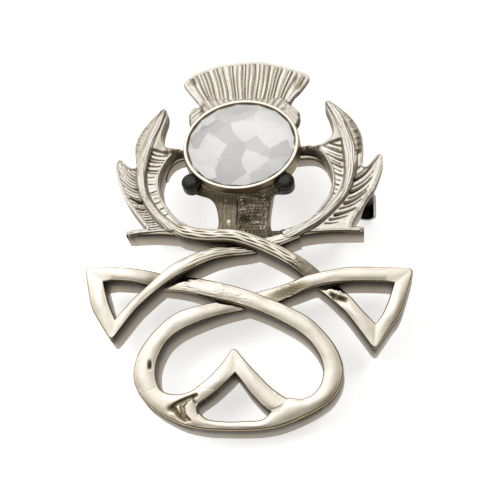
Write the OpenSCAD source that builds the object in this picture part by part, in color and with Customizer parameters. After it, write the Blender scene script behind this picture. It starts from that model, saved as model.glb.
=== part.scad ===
// Openwork thistle brooch: a cast and plated knot with two thistle leaves,
// a faceted oval stone for the flower head, a ribbed tuft above it,
// two small dark stones, and a pin fitting soldered behind.
// Millimetres. +X is the wearer's left-hand side seen from the front,
// +Y is toward the tuft, +Z is up. It lies on its back with the front upward.

/* [Casting] */
// Height of the polished bars above the flat back
cast_t = 4.6; // [3:0.1:6]
// How far a bar sinks where another one crosses over it
dip = 1.3; // [0.5:0.1:2]
// Rounding of the bars' upper edges
edge_r = 0.45; // [0.2:0.05:0.8]
// Height of the three ridges along the two upper strands
ridge_h = 0.22; // [0.1:0.02:0.4]
// Height of the leaf blades above the back
leaf_t = 3.5; // [2.5:0.1:4.5]
// Height of the veins above the blades
vein_h = 0.35; // [0.2:0.05:0.6]
// Height of the tuft's plate above the back
tuft_t = 3.8; // [3:0.1:5]
// Number of ridges fanned across the tuft
tuft_ridges = 24; // [12:1:32]

/* [Stones] */
// Half length of the oval stone
stone_rx = 8.3; // [6:0.1:10]
// Half width of the oval stone
stone_ry = 7.2; // [5:0.1:9]
// Height of the oval stone's crown above its girdle
crown_h = 2.0; // [1:0.1:3]
// Radius of the two small dark stones
small_r = 1.28; // [0.8:0.02:1.6]
// Clearance around every stone in its cup
seat_gap = 0.1; // [0.05:0.01:0.3]
// Thickness of the metal rim around the oval stone
rim_w = 0.55; // [0.4:0.05:1]
// Height of the rim's top above the back
rim_z = 5.6; // [5:0.1:7]

/* [Pin fitting] */
// Diameter of the pin stem
pin_d = 0.9; // [0.7:0.05:1.2]
// How far the stem's centre line stands behind the back
pin_drop = 2.2; // [1.8:0.1:3.5]
// Outside diameter of the catch and of the hinge barrel
catch_d = 3.0; // [2.4:0.1:4]
// Film of solder left between the fitting and the casting
solder_gap = 0.1; // [0.05:0.01:0.2]

/* [Hidden] */
stone_at = [-0.5, 17.7];
stone_turn = 6;
small_left_at = [-8.1, 11.8];
small_right_at = [6.3, 11.6];
hinge_at = [-13.2, 6.2];
catch_low = [18.5, 8.9];
catch_high = [18.5, 12.3];
catch_wall = 0.4;
block_at = [14.2, 6.0];
block_w = 1.6;
stem_y = 6.0;
foot_y = -26.6;
barrel_y = 5.0;
// The loop's rear edge and the fitting's two barrels carry the brooch,
// so the back leans by the angle between them. The catch is further from
// the loop than the hinge, so its centre line stands a little deeper.
barrel_low = pin_drop + catch_d / 2;
rest_tilt = atan(barrel_low / (barrel_y - foot_y));
catch_drop = (catch_low[1] - foot_y) * tan(rest_tilt) - catch_d / 2;
origin_shift = [-0.9, -3.43, barrel_low * cos(rest_tilt) - barrel_y * sin(rest_tilt)];
silver = [0.80, 0.78, 0.74];

// Each row of a bar is one section of it, with the columns
// outer x, outer y, inner x, inner y, share of the dip, sharp corner.

// Bar from the right stalk, down to the left and round the left arrow.
left_arrow = [
    [8.7, 2.3, 8.2, 4.0, 0.1, 0],
    [6.7, 1.5, 5.9, 3.3, 0.6, 0],
    [4.0, 0.7, 3.1, 2.8, 1.0, 0],
    [1.4, 0.0, 0.7, 2.1, 1.0, 0],
    [-1.2, -0.4, -1.8, 1.5, 0.7, 0],
    [-3.8, -1.1, -4.6, 0.9, 0.2, 0],
    [-6.4, -2.3, -7.4, -0.3, 0, 0],
    [-8.8, -3.5, -10.0, -1.7, 0, 0],
    [-10.7, -4.8, -12.0, -3.4, 0, 0],
    [-12.4, -6.3, -13.6, -5.1, 0, 0],
    [-14.0, -7.9, -15.2, -6.7, 0, 0],
    [-15.3, -9.4, -16.5, -8.3, 0, 0],
    [-18.3, -13.8, -18.0, -10.3, 0.2, 1],
    [-20.7, -10.3, -19.0, -8.2, 0, 0],
    [-22.0, -7.8, -19.6, -6.5, 0, 0],
    [-23.4, -2.0, -20.2, -4.6, 0.1, 1],
    [-19.5, -2.0, -19.0, -4.4, 0, 0]
];
// Bar from the left arrow's top, under the last one, down the loop's right side.
loop_right = [
    [-23.4, -2.0, -20.2, -4.6, 0.1, 1],
    [-19.5, -2.0, -19.0, -4.4, 0, 0],
    [-16.4, -2.3, -16.2, -4.6, 0.1, 0],
    [-13.7, -2.6, -14.1, -5.0, 0.7, 0],
    [-10.1, -3.1, -11.5, -5.4, 1.0, 0],
    [-6.5, -3.7, -8.0, -6.0, 0.8, 0],
    [-3.6, -4.6, -4.2, -7.2, 0.2, 0],
    [-0.6, -5.4, -1.1, -8.0, 0, 0],
    [2.0, -6.3, 1.2, -8.8, 0, 0],
    [4.6, -7.4, 3.5, -9.7, 0, 0],
    [7.4, -8.7, 5.9, -10.9, 0, 0],
    [10.2, -10.4, 8.4, -12.4, 0, 0],
    [12.4, -12.6, 10.3, -14.1, 0, 0],
    [14.0, -14.9, 11.6, -16.1, 0, 0],
    [14.9, -17.4, 12.1, -17.9, 0, 0],
    [14.9, -19.2, 12.0, -19.3, 0, 0],
    [14.2, -21.1, 11.5, -20.6, 0, 0],
    [12.9, -22.7, 10.5, -21.7, 0, 0],
    [11.0, -24.0, 9.2, -22.2, 0, 0]
];
// Bar from the left stalk, across the neck's foot and round the right arrow.
right_arrow = [
    [-11.4, 4.1, -10.4, 5.3, 0, 0],
    [-9.4, 2.7, -8.4, 4.6, 0, 0],
    [-7.5, 2.1, -6.7, 4.1, 0, 0],
    [-5.2, 1.8, -4.8, 3.9, 0, 0],
    [-3.1, 1.8, -2.8, 3.9, 0, 0],
    [-1.2, 1.6, -0.6, 3.7, 0, 0],
    [0.7, 1.0, 1.5, 3.0, 0, 0],
    [2.8, 0.1, 3.8, 2.0, 0, 0],
    [5.1, -1.1, 6.3, 0.7, 0, 0],
    [7.2, -2.4, 8.6, -0.7, 0.3, 0],
    [8.9, -3.7, 10.5, -2.0, 0.9, 0],
    [10.7, -5.2, 12.5, -3.6, 1.0, 0],
    [12.6, -6.8, 14.4, -5.3, 0.9, 0],
    [14.3, -8.6, 16.1, -7.2, 0.3, 0],
    [15.6, -10.1, 17.4, -8.9, 0, 0],
    [19.3, -15.4, 19.5, -11.3, 0.2, 1],
    [21.6, -11.9, 20.4, -10.0, 0, 0],
    [23.2, -9.4, 21.2, -8.2, 0, 0],
    [25.2, -2.9, 22.2, -5.3, 0.1, 1],
    [21.6, -2.7, 21.0, -5.1, 0, 0]
];
// Bar from the right arrow's top, over and under, down the loop's left side.
loop_left = [
    [25.2, -2.9, 22.2, -5.3, 0.1, 1],
    [21.6, -2.7, 21.0, -5.1, 0, 0],
    [18.9, -2.6, 18.5, -5.0, 0, 0],
    [15.8, -2.6, 16.0, -5.0, 0, 0],
    [12.6, -3.1, 13.2, -5.2, 0, 0],
    [10.2, -3.7, 10.8, -5.7, 0, 0],
    [8.2, -4.3, 8.7, -6.5, 0.3, 0],
    [6.4, -4.8, 6.8, -7.2, 0.7, 0],
    [4.4, -5.3, 4.8, -7.9, 1.0, 0],
    [1.4, -6.1, 2.0, -8.6, 1.0, 0],
    [-1.6, -7.0, -0.9, -9.3, 0.7, 0],
    [-4.3, -7.8, -3.2, -10.0, 0.3, 0],
    [-6.9, -8.6, -5.7, -11.0, 0, 0],
    [-9.0, -9.4, -7.6, -11.9, 0, 0],
    [-10.7, -10.7, -9.1, -12.9, 0, 0],
    [-12.2, -12.3, -10.2, -14.1, 0, 0],
    [-13.5, -14.2, -10.9, -15.5, 0, 0],
    [-14.4, -16.2, -11.3, -16.8, 0, 0],
    [-14.7, -18.1, -11.4, -18.2, 0, 0],
    [-14.5, -19.8, -11.2, -19.5, 0, 0],
    [-13.7, -21.5, -10.8, -20.5, 0, 0],
    [-12.4, -23.0, -10.2, -21.1, 0, 0],
    [-10.6, -24.3, -9.4, -21.6, 0.3, 0],
    [-8.8, -25.2, -8.3, -22.1, 0.7, 0],
    [-6.9, -25.8, -7.0, -22.7, 1.0, 0]
];
// Foot of the loop, folded over the last bar's end at the left.
loop_foot = [
    [11.0, -24.0, 9.2, -22.2, 0, 0],
    [8.6, -25.1, 6.8, -22.2, 0, 0],
    [6.0, -26.0, 5.0, -24.0, 0, 0],
    [3.9, -26.5, 3.8, -25.1, 0, 0],
    [1.5, -26.6, 1.5, -25.3, 0, 0],
    [-0.9, -26.5, -0.8, -25.4, 0, 0],
    [-3.7, -26.5, -3.6, -25.1, 0, 0],
    [-5.8, -26.3, -4.9, -24.2, 0, 0],
    [-7.2, -25.6, -5.0, -23.3, 0.1, 0],
    [-7.5, -23.6, -4.6, -22.9, 0.1, 0],
    [-6.5, -22.0, -4.2, -22.5, 0.5, 0]
];
// Pointed chevron between the loop's lobes.
chevron = [
    [-6.9, -23.0, -4.5, -23.1, 0.6, 0],
    [-6.7, -21.5, -3.7, -22.1, 0, 0],
    [-5.4, -20.4, -2.5, -21.1, 0, 0],
    [-3.8, -19.0, -1.5, -20.1, 0, 0],
    [-2.1, -17.0, -0.8, -19.4, 0, 0],
    [-0.5, -14.6, -0.1, -18.6, 0, 1],
    [1.9, -17.4, 1.1, -20.2, 0, 0],
    [3.3, -18.9, 2.0, -21.4, 0, 0],
    [4.8, -20.4, 3.0, -22.5, 0, 0],
    [6.2, -21.5, 3.9, -23.4, 0, 0],
    [7.5, -22.3, 5.0, -24.1, 0, 0],
    [8.7, -22.9, 7.3, -24.6, 0.4, 0]
];

// Leaf outlines, x and y, from the stalk up the inner side and round.
left_leaf = [
    [-8.3, 4.8], [-9.9, 5.9], [-11.2, 7.4], [-12.1, 8.8], [-12.7, 10.2],
    [-13.1, 12.2], [-12.8, 14.1], [-12.1, 15.1], [-11.3, 16.0], [-10.4, 16.6],
    [-9.0, 17.0], [-9.0, 17.7], [-10.3, 18.0], [-12.0, 18.3], [-12.7, 18.7],
    [-13.1, 20.2], [-12.9, 21.9], [-12.6, 23.2], [-12.6, 24.4], [-13.0, 25.5],
    [-13.4, 25.8], [-14.0, 25.5], [-15.4, 23.7], [-16.4, 22.2], [-17.1, 20.6],
    [-17.5, 18.9], [-17.4, 17.4], [-17.1, 15.2], [-18.2, 15.3], [-19.5, 16.6],
    [-20.0, 16.8], [-20.4, 16.3], [-20.4, 15.1], [-19.9, 13.2], [-19.1, 11.0],
    [-18.2, 9.1], [-16.8, 7.2], [-15.1, 5.0], [-14.8, 4.2], [-17.4, 4.2],
    [-17.5, 3.6], [-17.1, 3.2], [-15.6, 3.4], [-12.5, 3.6], [-9.9, 3.5],
    [-9.4, 3.0], [-7.8, 3.0]
];
right_leaf = [
    [5.7, 3.7], [6.9, 4.1], [8.4, 4.6], [9.8, 5.4], [11.0, 6.6],
    [12.0, 8.0], [12.8, 9.4], [13.1, 11.1], [13.1, 12.4], [12.6, 13.8],
    [11.7, 14.9], [10.5, 15.6], [9.3, 16.1], [7.6, 16.4], [7.6, 18.6],
    [8.5, 18.6], [10.1, 18.2], [11.4, 18.4], [12.8, 19.1], [13.4, 19.9],
    [13.4, 21.2], [13.0, 22.9], [12.4, 24.6], [12.3, 26.0], [12.8, 26.5],
    [13.5, 26.1], [14.9, 24.7], [16.3, 23.2], [17.3, 21.5], [18.0, 19.6],
    [18.2, 17.6], [18.0, 15.2], [18.2, 14.4], [18.7, 14.4], [19.4, 15.2],
    [20.3, 16.4], [20.8, 16.4], [21.1, 15.8], [21.0, 14.2], [20.4, 12.2],
    [19.7, 10.5], [18.7, 9.0], [17.7, 7.2], [16.8, 5.8], [16.3, 4.2],
    [17.6, 4.0], [17.8, 3.5], [17.4, 3.2], [14.4, 3.3], [11.7, 3.2],
    [9.6, 3.1], [8.4, 2.6], [6.7, 2.2]
];
// Midribs, with the columns x, y, half width, share of the dip.
left_midrib = [
    [-13.3, 25.0, 0.25, 0.5],
    [-14.0, 22.4, 0.45, 0.2],
    [-15.0, 19.3, 0.55, 0],
    [-15.8, 16.2, 0.6, 0],
    [-16.0, 13.2, 0.65, 0],
    [-15.4, 10.3, 0.7, 0],
    [-14.0, 7.7, 0.75, 0],
    [-12.2, 5.6, 0.8, 0],
    [-10.4, 4.1, 0.9, 0]
];
right_midrib = [
    [12.9, 25.7, 0.25, 0.5],
    [14.3, 22.8, 0.5, 0.2],
    [15.5, 19.6, 0.6, 0],
    [16.1, 16.4, 0.7, 0],
    [16.1, 13.2, 0.75, 0],
    [15.3, 10.0, 0.75, 0],
    [13.6, 7.5, 0.75, 0],
    [11.3, 5.3, 0.8, 0],
    [8.5, 3.5, 0.85, 0.1],
    [6.5, 2.6, 0.9, 0.4]
];
// Veins, with the columns start along the midrib, reach, angle back toward the tip.
vein_reach_inner = [1.2, 1.6, 2.0, 2.2, 2.2, 2.1, 2.0, 1.6];
vein_reach_outer = [0.9, 1.2, 1.3, 1.3, 3.0, 3.4, 3.0, 2.4];
// Neck and calyx below the oval stone, x and y.
neck_outline = [
    [-9.6, 13.6], [-9.2, 12.0], [-8.4, 10.9], [-7.0, 10.5], [-5.6, 10.0],
    [-4.7, 9.2], [-4.2, 8.0], [-3.9, 6.6], [-3.8, 5.2], [-3.9, 3.0],
    [3.9, 2.4], [3.9, 6.0], [4.0, 8.4], [4.3, 9.8], [4.9, 10.4],
    [6.4, 10.2], [7.6, 10.8], [7.9, 12.2], [7.2, 14.0], [0, 16.0]
];
// Collar between the stone and the tuft, then the tuft's fan, x and y.
collar_outline = [
    [-8.8, 21.6], [-9.2, 23.6], [-9.1, 24.6], [-8.5, 25.3], [-7.6, 25.6],
    [-7.2, 27.0], [6.6, 27.0], [7.0, 26.0], [8.0, 25.1], [8.4, 24.2],
    [8.2, 22.8], [7.4, 21.2]
];
tuft_outline = [
    [-7.4, 25.4], [-8.3, 26.9], [-9.4, 28.4], [-10.2, 29.7], [-10.4, 30.4],
    [-9.1, 31.8], [-7.8, 32.4], [-6.4, 33.0], [-4.6, 33.6], [-2.6, 33.8],
    [-0.2, 34.0], [2.1, 33.9], [4.4, 33.3], [6.8, 32.5], [8.5, 31.8],
    [9.5, 30.8], [10.0, 29.6], [9.8, 28.7], [8.4, 27.5], [7.0, 26.0]
];

// Row between p1 and p2 at t, smoothly curved through its neighbours.
function curve_row(p0, p1, p2, p3, t) =
    0.5 * (2 * p1 + (p2 - p0) * t + (2 * p0 - 5 * p1 + 4 * p2 - p3) * t * t
    + (3 * p1 - p0 - 3 * p2 + p3) * t * t * t);
// Rows with n steps between each pair; a sharp row ends the curve on each side.
function curve_rows(rows, n, sharp = 5) = [
    for (i = [0 : len(rows) - 2])
        let (a = rows[i], b = rows[i + 1],
            before = i == 0 || a[sharp] == 1 ? 2 * a - b : rows[i - 1],
            after = i == len(rows) - 2 || b[sharp] == 1 ? 2 * b - a : rows[i + 2])
        for (k = [0 : n - 1]) curve_row(before, a, b, after, k / n),
    rows[len(rows) - 1]
];
// One section of a bar: flat back, upright walls, rounded shoulders and a crown
// with three ridges of the given rise, which is nothing on a plain bar.
function bar_section(r, rise) =
    let (o = [r[0], r[1]], i = [r[2], r[3]], w = norm(i - o), d = (i - o) / w,
        top = cast_t - dip * max(0, min(1, r[4])), e = min(edge_r, w / 3),
        crown = [for (k = [1 : 5]) [e + (w - 2 * e) * k / 6, top + (k % 2) * rise]])
    [for (p = concat([[0, 0], [0, top - e * 1.1], [e * 0.3, top - e * 0.35], [e, top]],
            crown,
            [[w - e, top], [w - e * 0.3, top - e * 0.35], [w, top - e * 1.1], [w, 0]]))
        [o[0] + d[0] * p[0], o[1] + d[1] * p[0], p[1]]];
// Turning direction of a run of sections, so that every face looks outward.
function turns_left(rows) =
    let (a = rows[0], b = rows[1], across = [a[2] - a[0], a[3] - a[1]],
        along = [b[0] - a[0], b[1] - a[1]])
    across[0] * along[1] - across[1] * along[0] > 0;

module skin(sections, flip) {
    n = len(sections[0]);
    m = len(sections);
    side = [for (s = [0 : m - 2]) for (k = [0 : n - 1])
        [s * n + k, s * n + (k + 1) % n, (s + 1) * n + (k + 1) % n, (s + 1) * n + k]];
    first = [for (k = [n - 1 : -1 : 0]) k];
    last = [for (k = [0 : n - 1]) (m - 1) * n + k];
    all_faces = concat(side, [first], [last]);
    polyhedron(points = [for (s = sections) each s],
        faces = flip ? [for (f = all_faces) [for (k = [len(f) - 1 : -1 : 0]) f[k]]] : all_faces,
        convexity = 8);
}

// Sweep of a bar's sections; its ridges run as far as the row ridged_to and then fade.
module bar(rows, ridged_to = -1, steps = 2) {
    fine = curve_rows(rows, steps);
    skin([for (k = [0 : len(fine) - 1])
        bar_section(fine[k], ridge_h * max(0, min(1, ridged_to + 1 - k / steps)))],
        turns_left(fine));
}

// A midrib as a ridge with a round back, on the leaf's blade.
function rib_heading(rows, k) =
    let (a = rows[max(0, k - 1)], b = rows[min(len(rows) - 1, k + 1)],
        v = [b[0] - a[0], b[1] - a[1]]) v / norm(v);
module midrib(rows, steps = 2) {
    fine = curve_rows(rows, steps, 9);
    sections = [for (k = [0 : len(fine) - 1])
        let (r = fine[k], h = rib_heading(fine, k), s = [h[1], -h[0]], w = r[2],
            top = cast_t - dip * max(0, min(1, r[3])))
        [for (p = [[-w, 0.4], [-w, top - 0.5], [-w * 0.5, top - 0.1], [0, top],
                [w * 0.5, top - 0.1], [w, top - 0.5], [w, 0.4]])
            [r[0] + s[0] * p[0], r[1] + s[1] * p[0], p[1]]]];
    skin(sections, true);
}

// Veins on both sides of a midrib, each one falling toward the leaf's edge.
module veins(rows, mirrored) {
    fine = curve_rows(rows, 3, 9);
    count = len(vein_reach_inner);
    for (k = [0 : count - 1]) {
        at = round((k + 1) * (len(fine) - 6) / count);
        r = fine[at];
        h = rib_heading(fine, at);
        out = mirrored ? [-h[1], h[0]] : [h[1], -h[0]];
        for (side = [[out, vein_reach_outer[k]], [-out, vein_reach_inner[k]]]) {
            tip = [r[0], r[1]] + side[0] * side[1] - h * side[1] * 0.7;
            hull() {
                translate([r[0], r[1], cast_t - 0.7]) sphere(r = 0.3, $fn = 6);
                translate([tip[0], tip[1], leaf_t + vein_h - 0.3]) sphere(r = 0.28, $fn = 6);
            }
        }
    }
}

module oval(rx, ry, h, sides = 48) {
    linear_extrude(h) polygon([for (k = [0 : sides - 1])
        [rx * cos(k * 360 / sides), ry * sin(k * 360 / sides)]]);
}

module at_stone() {
    translate([stone_at[0], stone_at[1], 0]) rotate([0, 0, stone_turn]) children();
}

// Ridges of the tuft, fanned from a point low in the head.
module tuft_ridge_field() {
    for (k = [0 : tuft_ridges - 1]) {
        u = (k + 0.5) / tuft_ridges * 2 - 1;
        low = [u * 6.7 - 0.2, 26.9 - 0.5 * u * u - 0.2 * u];
        high = [u * 9.0 - 0.3, 33.2 - 2.5 * u * u - 0.2 * u];
        hull() {
            translate([low[0], low[1], tuft_t - 0.1]) sphere(r = 0.2, $fn = 6);
            translate([high[0], high[1], tuft_t + 0.25]) sphere(r = 0.27, $fn = 6);
        }
    }
}

module thistle_head() {
    linear_extrude(3.2) polygon(neck_outline);
    linear_extrude(cast_t) polygon(collar_outline);
    linear_extrude(tuft_t) polygon(tuft_outline);
    // ledge of the calyx around the rim
    at_stone() oval(stone_rx + rim_w + 0.35, stone_ry + rim_w + 0.35, cast_t - 0.5);
    at_stone() oval(stone_rx + rim_w + seat_gap, stone_ry + rim_w + seat_gap, rim_z);
    // cross ridges on the neck
    for (k = [0 : 3]) hull() {
        translate([0.2, 5.0 + k * 1.35, 3.2]) sphere(r = 0.35, $fn = 8);
        translate([3.4, 5.2 + k * 1.35, 3.1]) sphere(r = 0.3, $fn = 8);
    }
    tuft_ridge_field();
}

module small_cup(at) {
    translate([at[0], at[1], 0]) cylinder(r = small_r + seat_gap + 0.25, h = cast_t + 0.2, $fn = 32);
}

module casting() {
    color(silver) difference() {
        union() {
            bar(left_arrow, 6);
            bar(loop_right);
            bar(right_arrow, 9);
            bar(loop_left);
            bar(loop_foot);
            bar(chevron);
            linear_extrude(leaf_t) polygon(left_leaf);
            linear_extrude(leaf_t - 0.02) polygon(right_leaf);
            midrib(left_midrib);
            midrib(right_midrib);
            veins(left_midrib, false);
            veins(right_midrib, true);
            thistle_head();
            small_cup(small_left_at);
            small_cup(small_right_at);
        }
        // stone seats
        at_stone() translate([0, 0, 1.2])
            oval(stone_rx + seat_gap, stone_ry + seat_gap, rim_z);
        for (at = [small_left_at, small_right_at])
            translate([at[0], at[1], cast_t - 1.2])
                cylinder(r = small_r + seat_gap, h = 3, $fn = 32);
    }
}

// Oval cut stone: rings with the columns share of the radius, height, sides, turn.
module centre_stone() {
    girdle_z = rim_z - 0.35;
    color([0.86, 0.87, 0.89, 0.9]) at_stone() hull() {
        for (ring = [[1, girdle_z, 16, 0], [1, girdle_z + 0.25, 16, 0],
                [0.84, girdle_z + crown_h * 0.6, 8, 22.5], [0.6, girdle_z + crown_h, 8, 0],
                [0.55, girdle_z - 2.4, 8, 22.5], [0.06, girdle_z - 3.8, 8, 0]])
            translate([0, 0, ring[1]]) linear_extrude(0.001) polygon([for (k = [0 : ring[2] - 1])
                [stone_rx * ring[0] * cos(k * 360 / ring[2] + ring[3]),
                    stone_ry * ring[0] * sin(k * 360 / ring[2] + ring[3])]]);
    }
}

module small_stone(at) {
    color([0.16, 0.155, 0.15]) translate([at[0], at[1], 0]) hull() {
        for (ring = [[1, cast_t - 0.1, 0], [1, cast_t + 0.1, 0], [0.55, cast_t + 0.55, 22.5],
                [0.1, cast_t - 1.0, 22.5]])
            translate([0, 0, ring[1]]) linear_extrude(0.001) polygon([for (k = [0 : 7])
                [small_r * ring[0] * cos(k * 45 + ring[2]), small_r * ring[0] * sin(k * 45 + ring[2])]]);
    }
}
module side_stone_left() { small_stone(small_left_at); }
module side_stone_right() { small_stone(small_right_at); }

// Hinge, stem and catch behind the leaves, closed and plain, as one piece.
module pin_fitting() {
    lean = atan2(catch_high[1] - catch_low[1], catch_high[0] - catch_low[0]);
    reach = norm(catch_high - catch_low);
    hollow = catch_d - 2 * catch_wall;
    color(silver * 0.9) union() {
        // hinge plate and barrel
        translate([hinge_at[0] - 1.1, hinge_at[1] - 1.8, -solder_gap - 0.8]) cube([2.2, 3.6, 0.8]);
        translate([hinge_at[0], barrel_y, -pin_drop]) rotate([-90, 0, 0])
            cylinder(d = catch_d, h = 2.4, $fn = 40);
        // stem from the hinge into the block that holds its end
        translate([hinge_at[0], stem_y, -pin_drop]) rotate([0, 90, 0])
            cylinder(d = pin_d, h = block_at[0] + block_w / 2 - hinge_at[0], $fn = 24);
        translate([block_at[0], block_at[1], -pin_drop]) rotate([0, 90, 0])
            cylinder(d = 2.4, h = block_w, $fn = 32);
        translate([block_at[0], block_at[1] - 1.0, -pin_drop])
            cube([block_w, 2.0, pin_drop - solder_gap]);
        // plate on the leaf's back, from the block to the lug at the leaf's edge
        translate([0, 0, -solder_gap - 0.8]) linear_extrude(0.8) polygon([
            [block_at[0], block_at[1] - 1.0], [block_at[0] + block_w, block_at[1] - 1.0],
            [catch_high[0], catch_high[1] - 1.3], [catch_high[0], catch_high[1] - 0.15],
            [catch_high[0] - block_w, catch_high[1] - 0.15], [block_at[0], block_at[1] + 1.0]]);
        // lug: a trough open to the front, with a solid end and foot
        translate([catch_low[0], catch_low[1], 0]) rotate([0, 0, lean]) {
            translate([reach - 1.1, -1.0, -catch_drop]) cube([1.0, 2.0, catch_drop - solder_gap]);
            translate([0, 0, -catch_drop]) difference() {
                rotate([0, 90, 0]) cylinder(d = catch_d, h = reach, $fn = 40);
                translate([-0.1, 0, 0]) rotate([0, 90, 0])
                    cylinder(d = hollow, h = reach - 1.2, $fn = 32);
                translate([-0.1, -hollow / 2, 0]) cube([reach - 1.2, hollow, catch_d]);
            }
        }
    }
}

// Everything is built flat and then laid down as it rests.
module seated() {
    translate(origin_shift) rotate([rest_tilt, 0, 0]) children();
}

seated() casting();
seated() centre_stone();
seated() side_stone_left();
seated() side_stone_right();
seated() pin_fitting();
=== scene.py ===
# %% [markdown]
# This lesson dresses a thistle brooch: a knot of polished bars, two thistle
# leaves, a flower head with one large oval stone, and a ribbed tuft.
# The imported model is loaded first. It gives the box that the finished
# pieces have to stay in.

# %% Load the imported model
import math
import bmesh
import bpy
import numpy as np
from mathutils import Matrix, Vector
from mathutils.geometry import delaunay_2d_cdt


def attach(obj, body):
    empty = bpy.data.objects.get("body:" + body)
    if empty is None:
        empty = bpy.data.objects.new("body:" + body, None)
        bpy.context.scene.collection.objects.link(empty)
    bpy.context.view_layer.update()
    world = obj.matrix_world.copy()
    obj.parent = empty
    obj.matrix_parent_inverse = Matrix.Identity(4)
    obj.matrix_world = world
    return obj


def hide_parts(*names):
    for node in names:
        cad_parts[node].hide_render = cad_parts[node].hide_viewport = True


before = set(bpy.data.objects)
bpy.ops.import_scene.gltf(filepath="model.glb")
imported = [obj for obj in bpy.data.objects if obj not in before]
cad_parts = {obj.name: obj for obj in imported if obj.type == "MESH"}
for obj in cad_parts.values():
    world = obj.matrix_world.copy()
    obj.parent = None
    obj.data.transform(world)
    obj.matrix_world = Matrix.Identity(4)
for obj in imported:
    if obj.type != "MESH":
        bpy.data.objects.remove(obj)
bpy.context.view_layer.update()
scene = bpy.context.scene
print("nodes", sorted(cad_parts))

# %% [markdown]
# The sizes are the same named values that the model's source uses, in
# millimetres on the flat back of the brooch. The brooch doesn't lie on that
# back: its pin fitting holds the tuft end off the table. Each piece could be
# modelled flat and then rotated, but a finished piece has to stay unturned,
# so every point is turned by the resting angle and shifted, in one place.

# %% Named sizes and the resting place
MM = 0.001
CAST_T = 4.6
DIP = 1.3
RIDGE_H = 0.22
LEAF_T = 3.5
TUFT_T = 3.8
TUFT_RIDGES = 24
STONE_RX = 8.3
STONE_RY = 7.2
CROWN_H = 2.0
SMALL_R = 1.28
SEAT_GAP = 0.1
RIM_W = 0.55
RIM_Z = 5.6
PIN_DROP = 2.2
CATCH_D = 3.0
STONE_AT = (-0.5, 17.7)
STONE_TURN = math.radians(6)
SMALL_LEFT_AT = (-8.1, 11.8)
SMALL_RIGHT_AT = (6.3, 11.6)
CATCH_FOOT = (18.5, 11.7)
FOOT_Y = -26.6
BARREL_Y = 5.0
BARREL_LOW = PIN_DROP + CATCH_D / 2
REST_TILT = math.atan(BARREL_LOW / (BARREL_Y - FOOT_Y))
COS_T = math.cos(REST_TILT)
SIN_T = math.sin(REST_TILT)
SHIFT = np.array([-0.9, -3.43, BARREL_LOW * COS_T - BARREL_Y * SIN_T])


def turned(points):
    """Flat directions or points, turned by the resting angle."""
    p = np.asarray(points, float).reshape(-1, 3)
    return np.stack([p[:, 0], p[:, 1] * COS_T - p[:, 2] * SIN_T, p[:, 1] * SIN_T + p[:, 2] * COS_T], 1)


def seat(points):
    """Flat points in millimetres, as they lie at rest, in metres."""
    return (turned(points) + SHIFT) * MM


UP = turned((0, 0, 1))[0]
print("resting angle", round(math.degrees(REST_TILT), 2))

# %% [markdown]
# The photograph is taken from in front and above. A camera could be aimed
# with a Track To constraint, but its roll matters here, so its place is
# given on the flat brooch, as an elevation, an azimuth and a roll round the
# view, and then turned and shifted with the brooch.

# %% Camera
VIEW_ELEVATION = 1.1345
VIEW_AZIMUTH = 0.2683
VIEW_ROLL = -0.2601
VIEW_DISTANCE = 147.75
VIEW_AIM = (-1.3739, -0.2171)
LENS = 72.34

ce, se = math.cos(VIEW_ELEVATION), math.sin(VIEW_ELEVATION)
ca, sa = math.cos(VIEW_AZIMUTH), math.sin(VIEW_AZIMUTH)
back = np.array([sa * ce, -ca * ce, se])
level = np.array([ca, sa, 0.0])
rise = np.cross(back, level)
right = math.cos(VIEW_ROLL) * level + math.sin(VIEW_ROLL) * rise
upward = -math.sin(VIEW_ROLL) * level + math.cos(VIEW_ROLL) * rise
eye = back * VIEW_DISTANCE - right * VIEW_AIM[0] - upward * VIEW_AIM[1] + np.array([0, 0, CAST_T])

camera_data = bpy.data.cameras.new("camera")
camera_data.lens = LENS
camera_data.sensor_width = 36
camera_data.clip_start = 0.001
camera_data.dof.use_dof = False
camera = bpy.data.objects.new("camera", camera_data)
scene.collection.objects.link(camera)
axes = [turned(v)[0] for v in (right, upward, back)]
spin = Matrix([[axes[c][r] for c in range(3)] for r in range(3)]).to_4x4()
camera.matrix_world = Matrix.Translation(Vector(seat(eye)[0])) @ spin
scene.camera = camera
print("camera height above the table, mm", round(camera.location.z / MM, 1))

# %% [markdown]
# Every finish here is built from nodes, and some of them come back each
# time. The first helper starts a material, the second turns a number into a
# tone on a colour ramp, and the third says how far a direction or a place
# reaches along a line, which serves for the sky and for the metal.

# %% Helpers for tones
def new_material(name):
    """A material with only its shader and output left: material, node tree, shader."""
    made = bpy.data.materials.new(name)
    made.use_nodes = True
    return made, made.node_tree, made.node_tree.nodes["Principled BSDF"]


def toned(tree, stops, value):
    """The colour that a ramp with these places and colours gives to a value."""
    ramp = tree.nodes.new("ShaderNodeValToRGB")
    ends = ramp.color_ramp.elements
    for end, (place, colour) in ((ends[0], stops[0]), (ends[1], stops[-1])):
        end.position = place
        end.color = (*colour, 1)
    for place, colour in stops[1:-1]:
        ends.new(place).color = (*colour, 1)
    tree.links.new(value, ramp.inputs[0])
    return ramp.outputs[0]


def reach_along(tree, vector, direction):
    """How far a vector goes along a direction."""
    dot = tree.nodes.new("ShaderNodeVectorMath")
    dot.operation = "DOT_PRODUCT"
    dot.inputs[1].default_value = direction
    tree.links.new(vector, dot.inputs[0])
    return dot.outputs["Value"]


print("the brooch's own up", [round(float(v), 3) for v in UP])

# %% [markdown]
# Polished metal shows its surroundings more than itself. A bright patch of
# the sky lies where the flat crowns mirror it to the camera, so they are
# nearly white. The sky darkens away from that patch and is almost black
# opposite it, which draws the thin dark lines on the rounded edges, as a
# studio's unlit walls do. A large lamp could be mirrored instead, but its
# hard border would show on the crowns.

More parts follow.
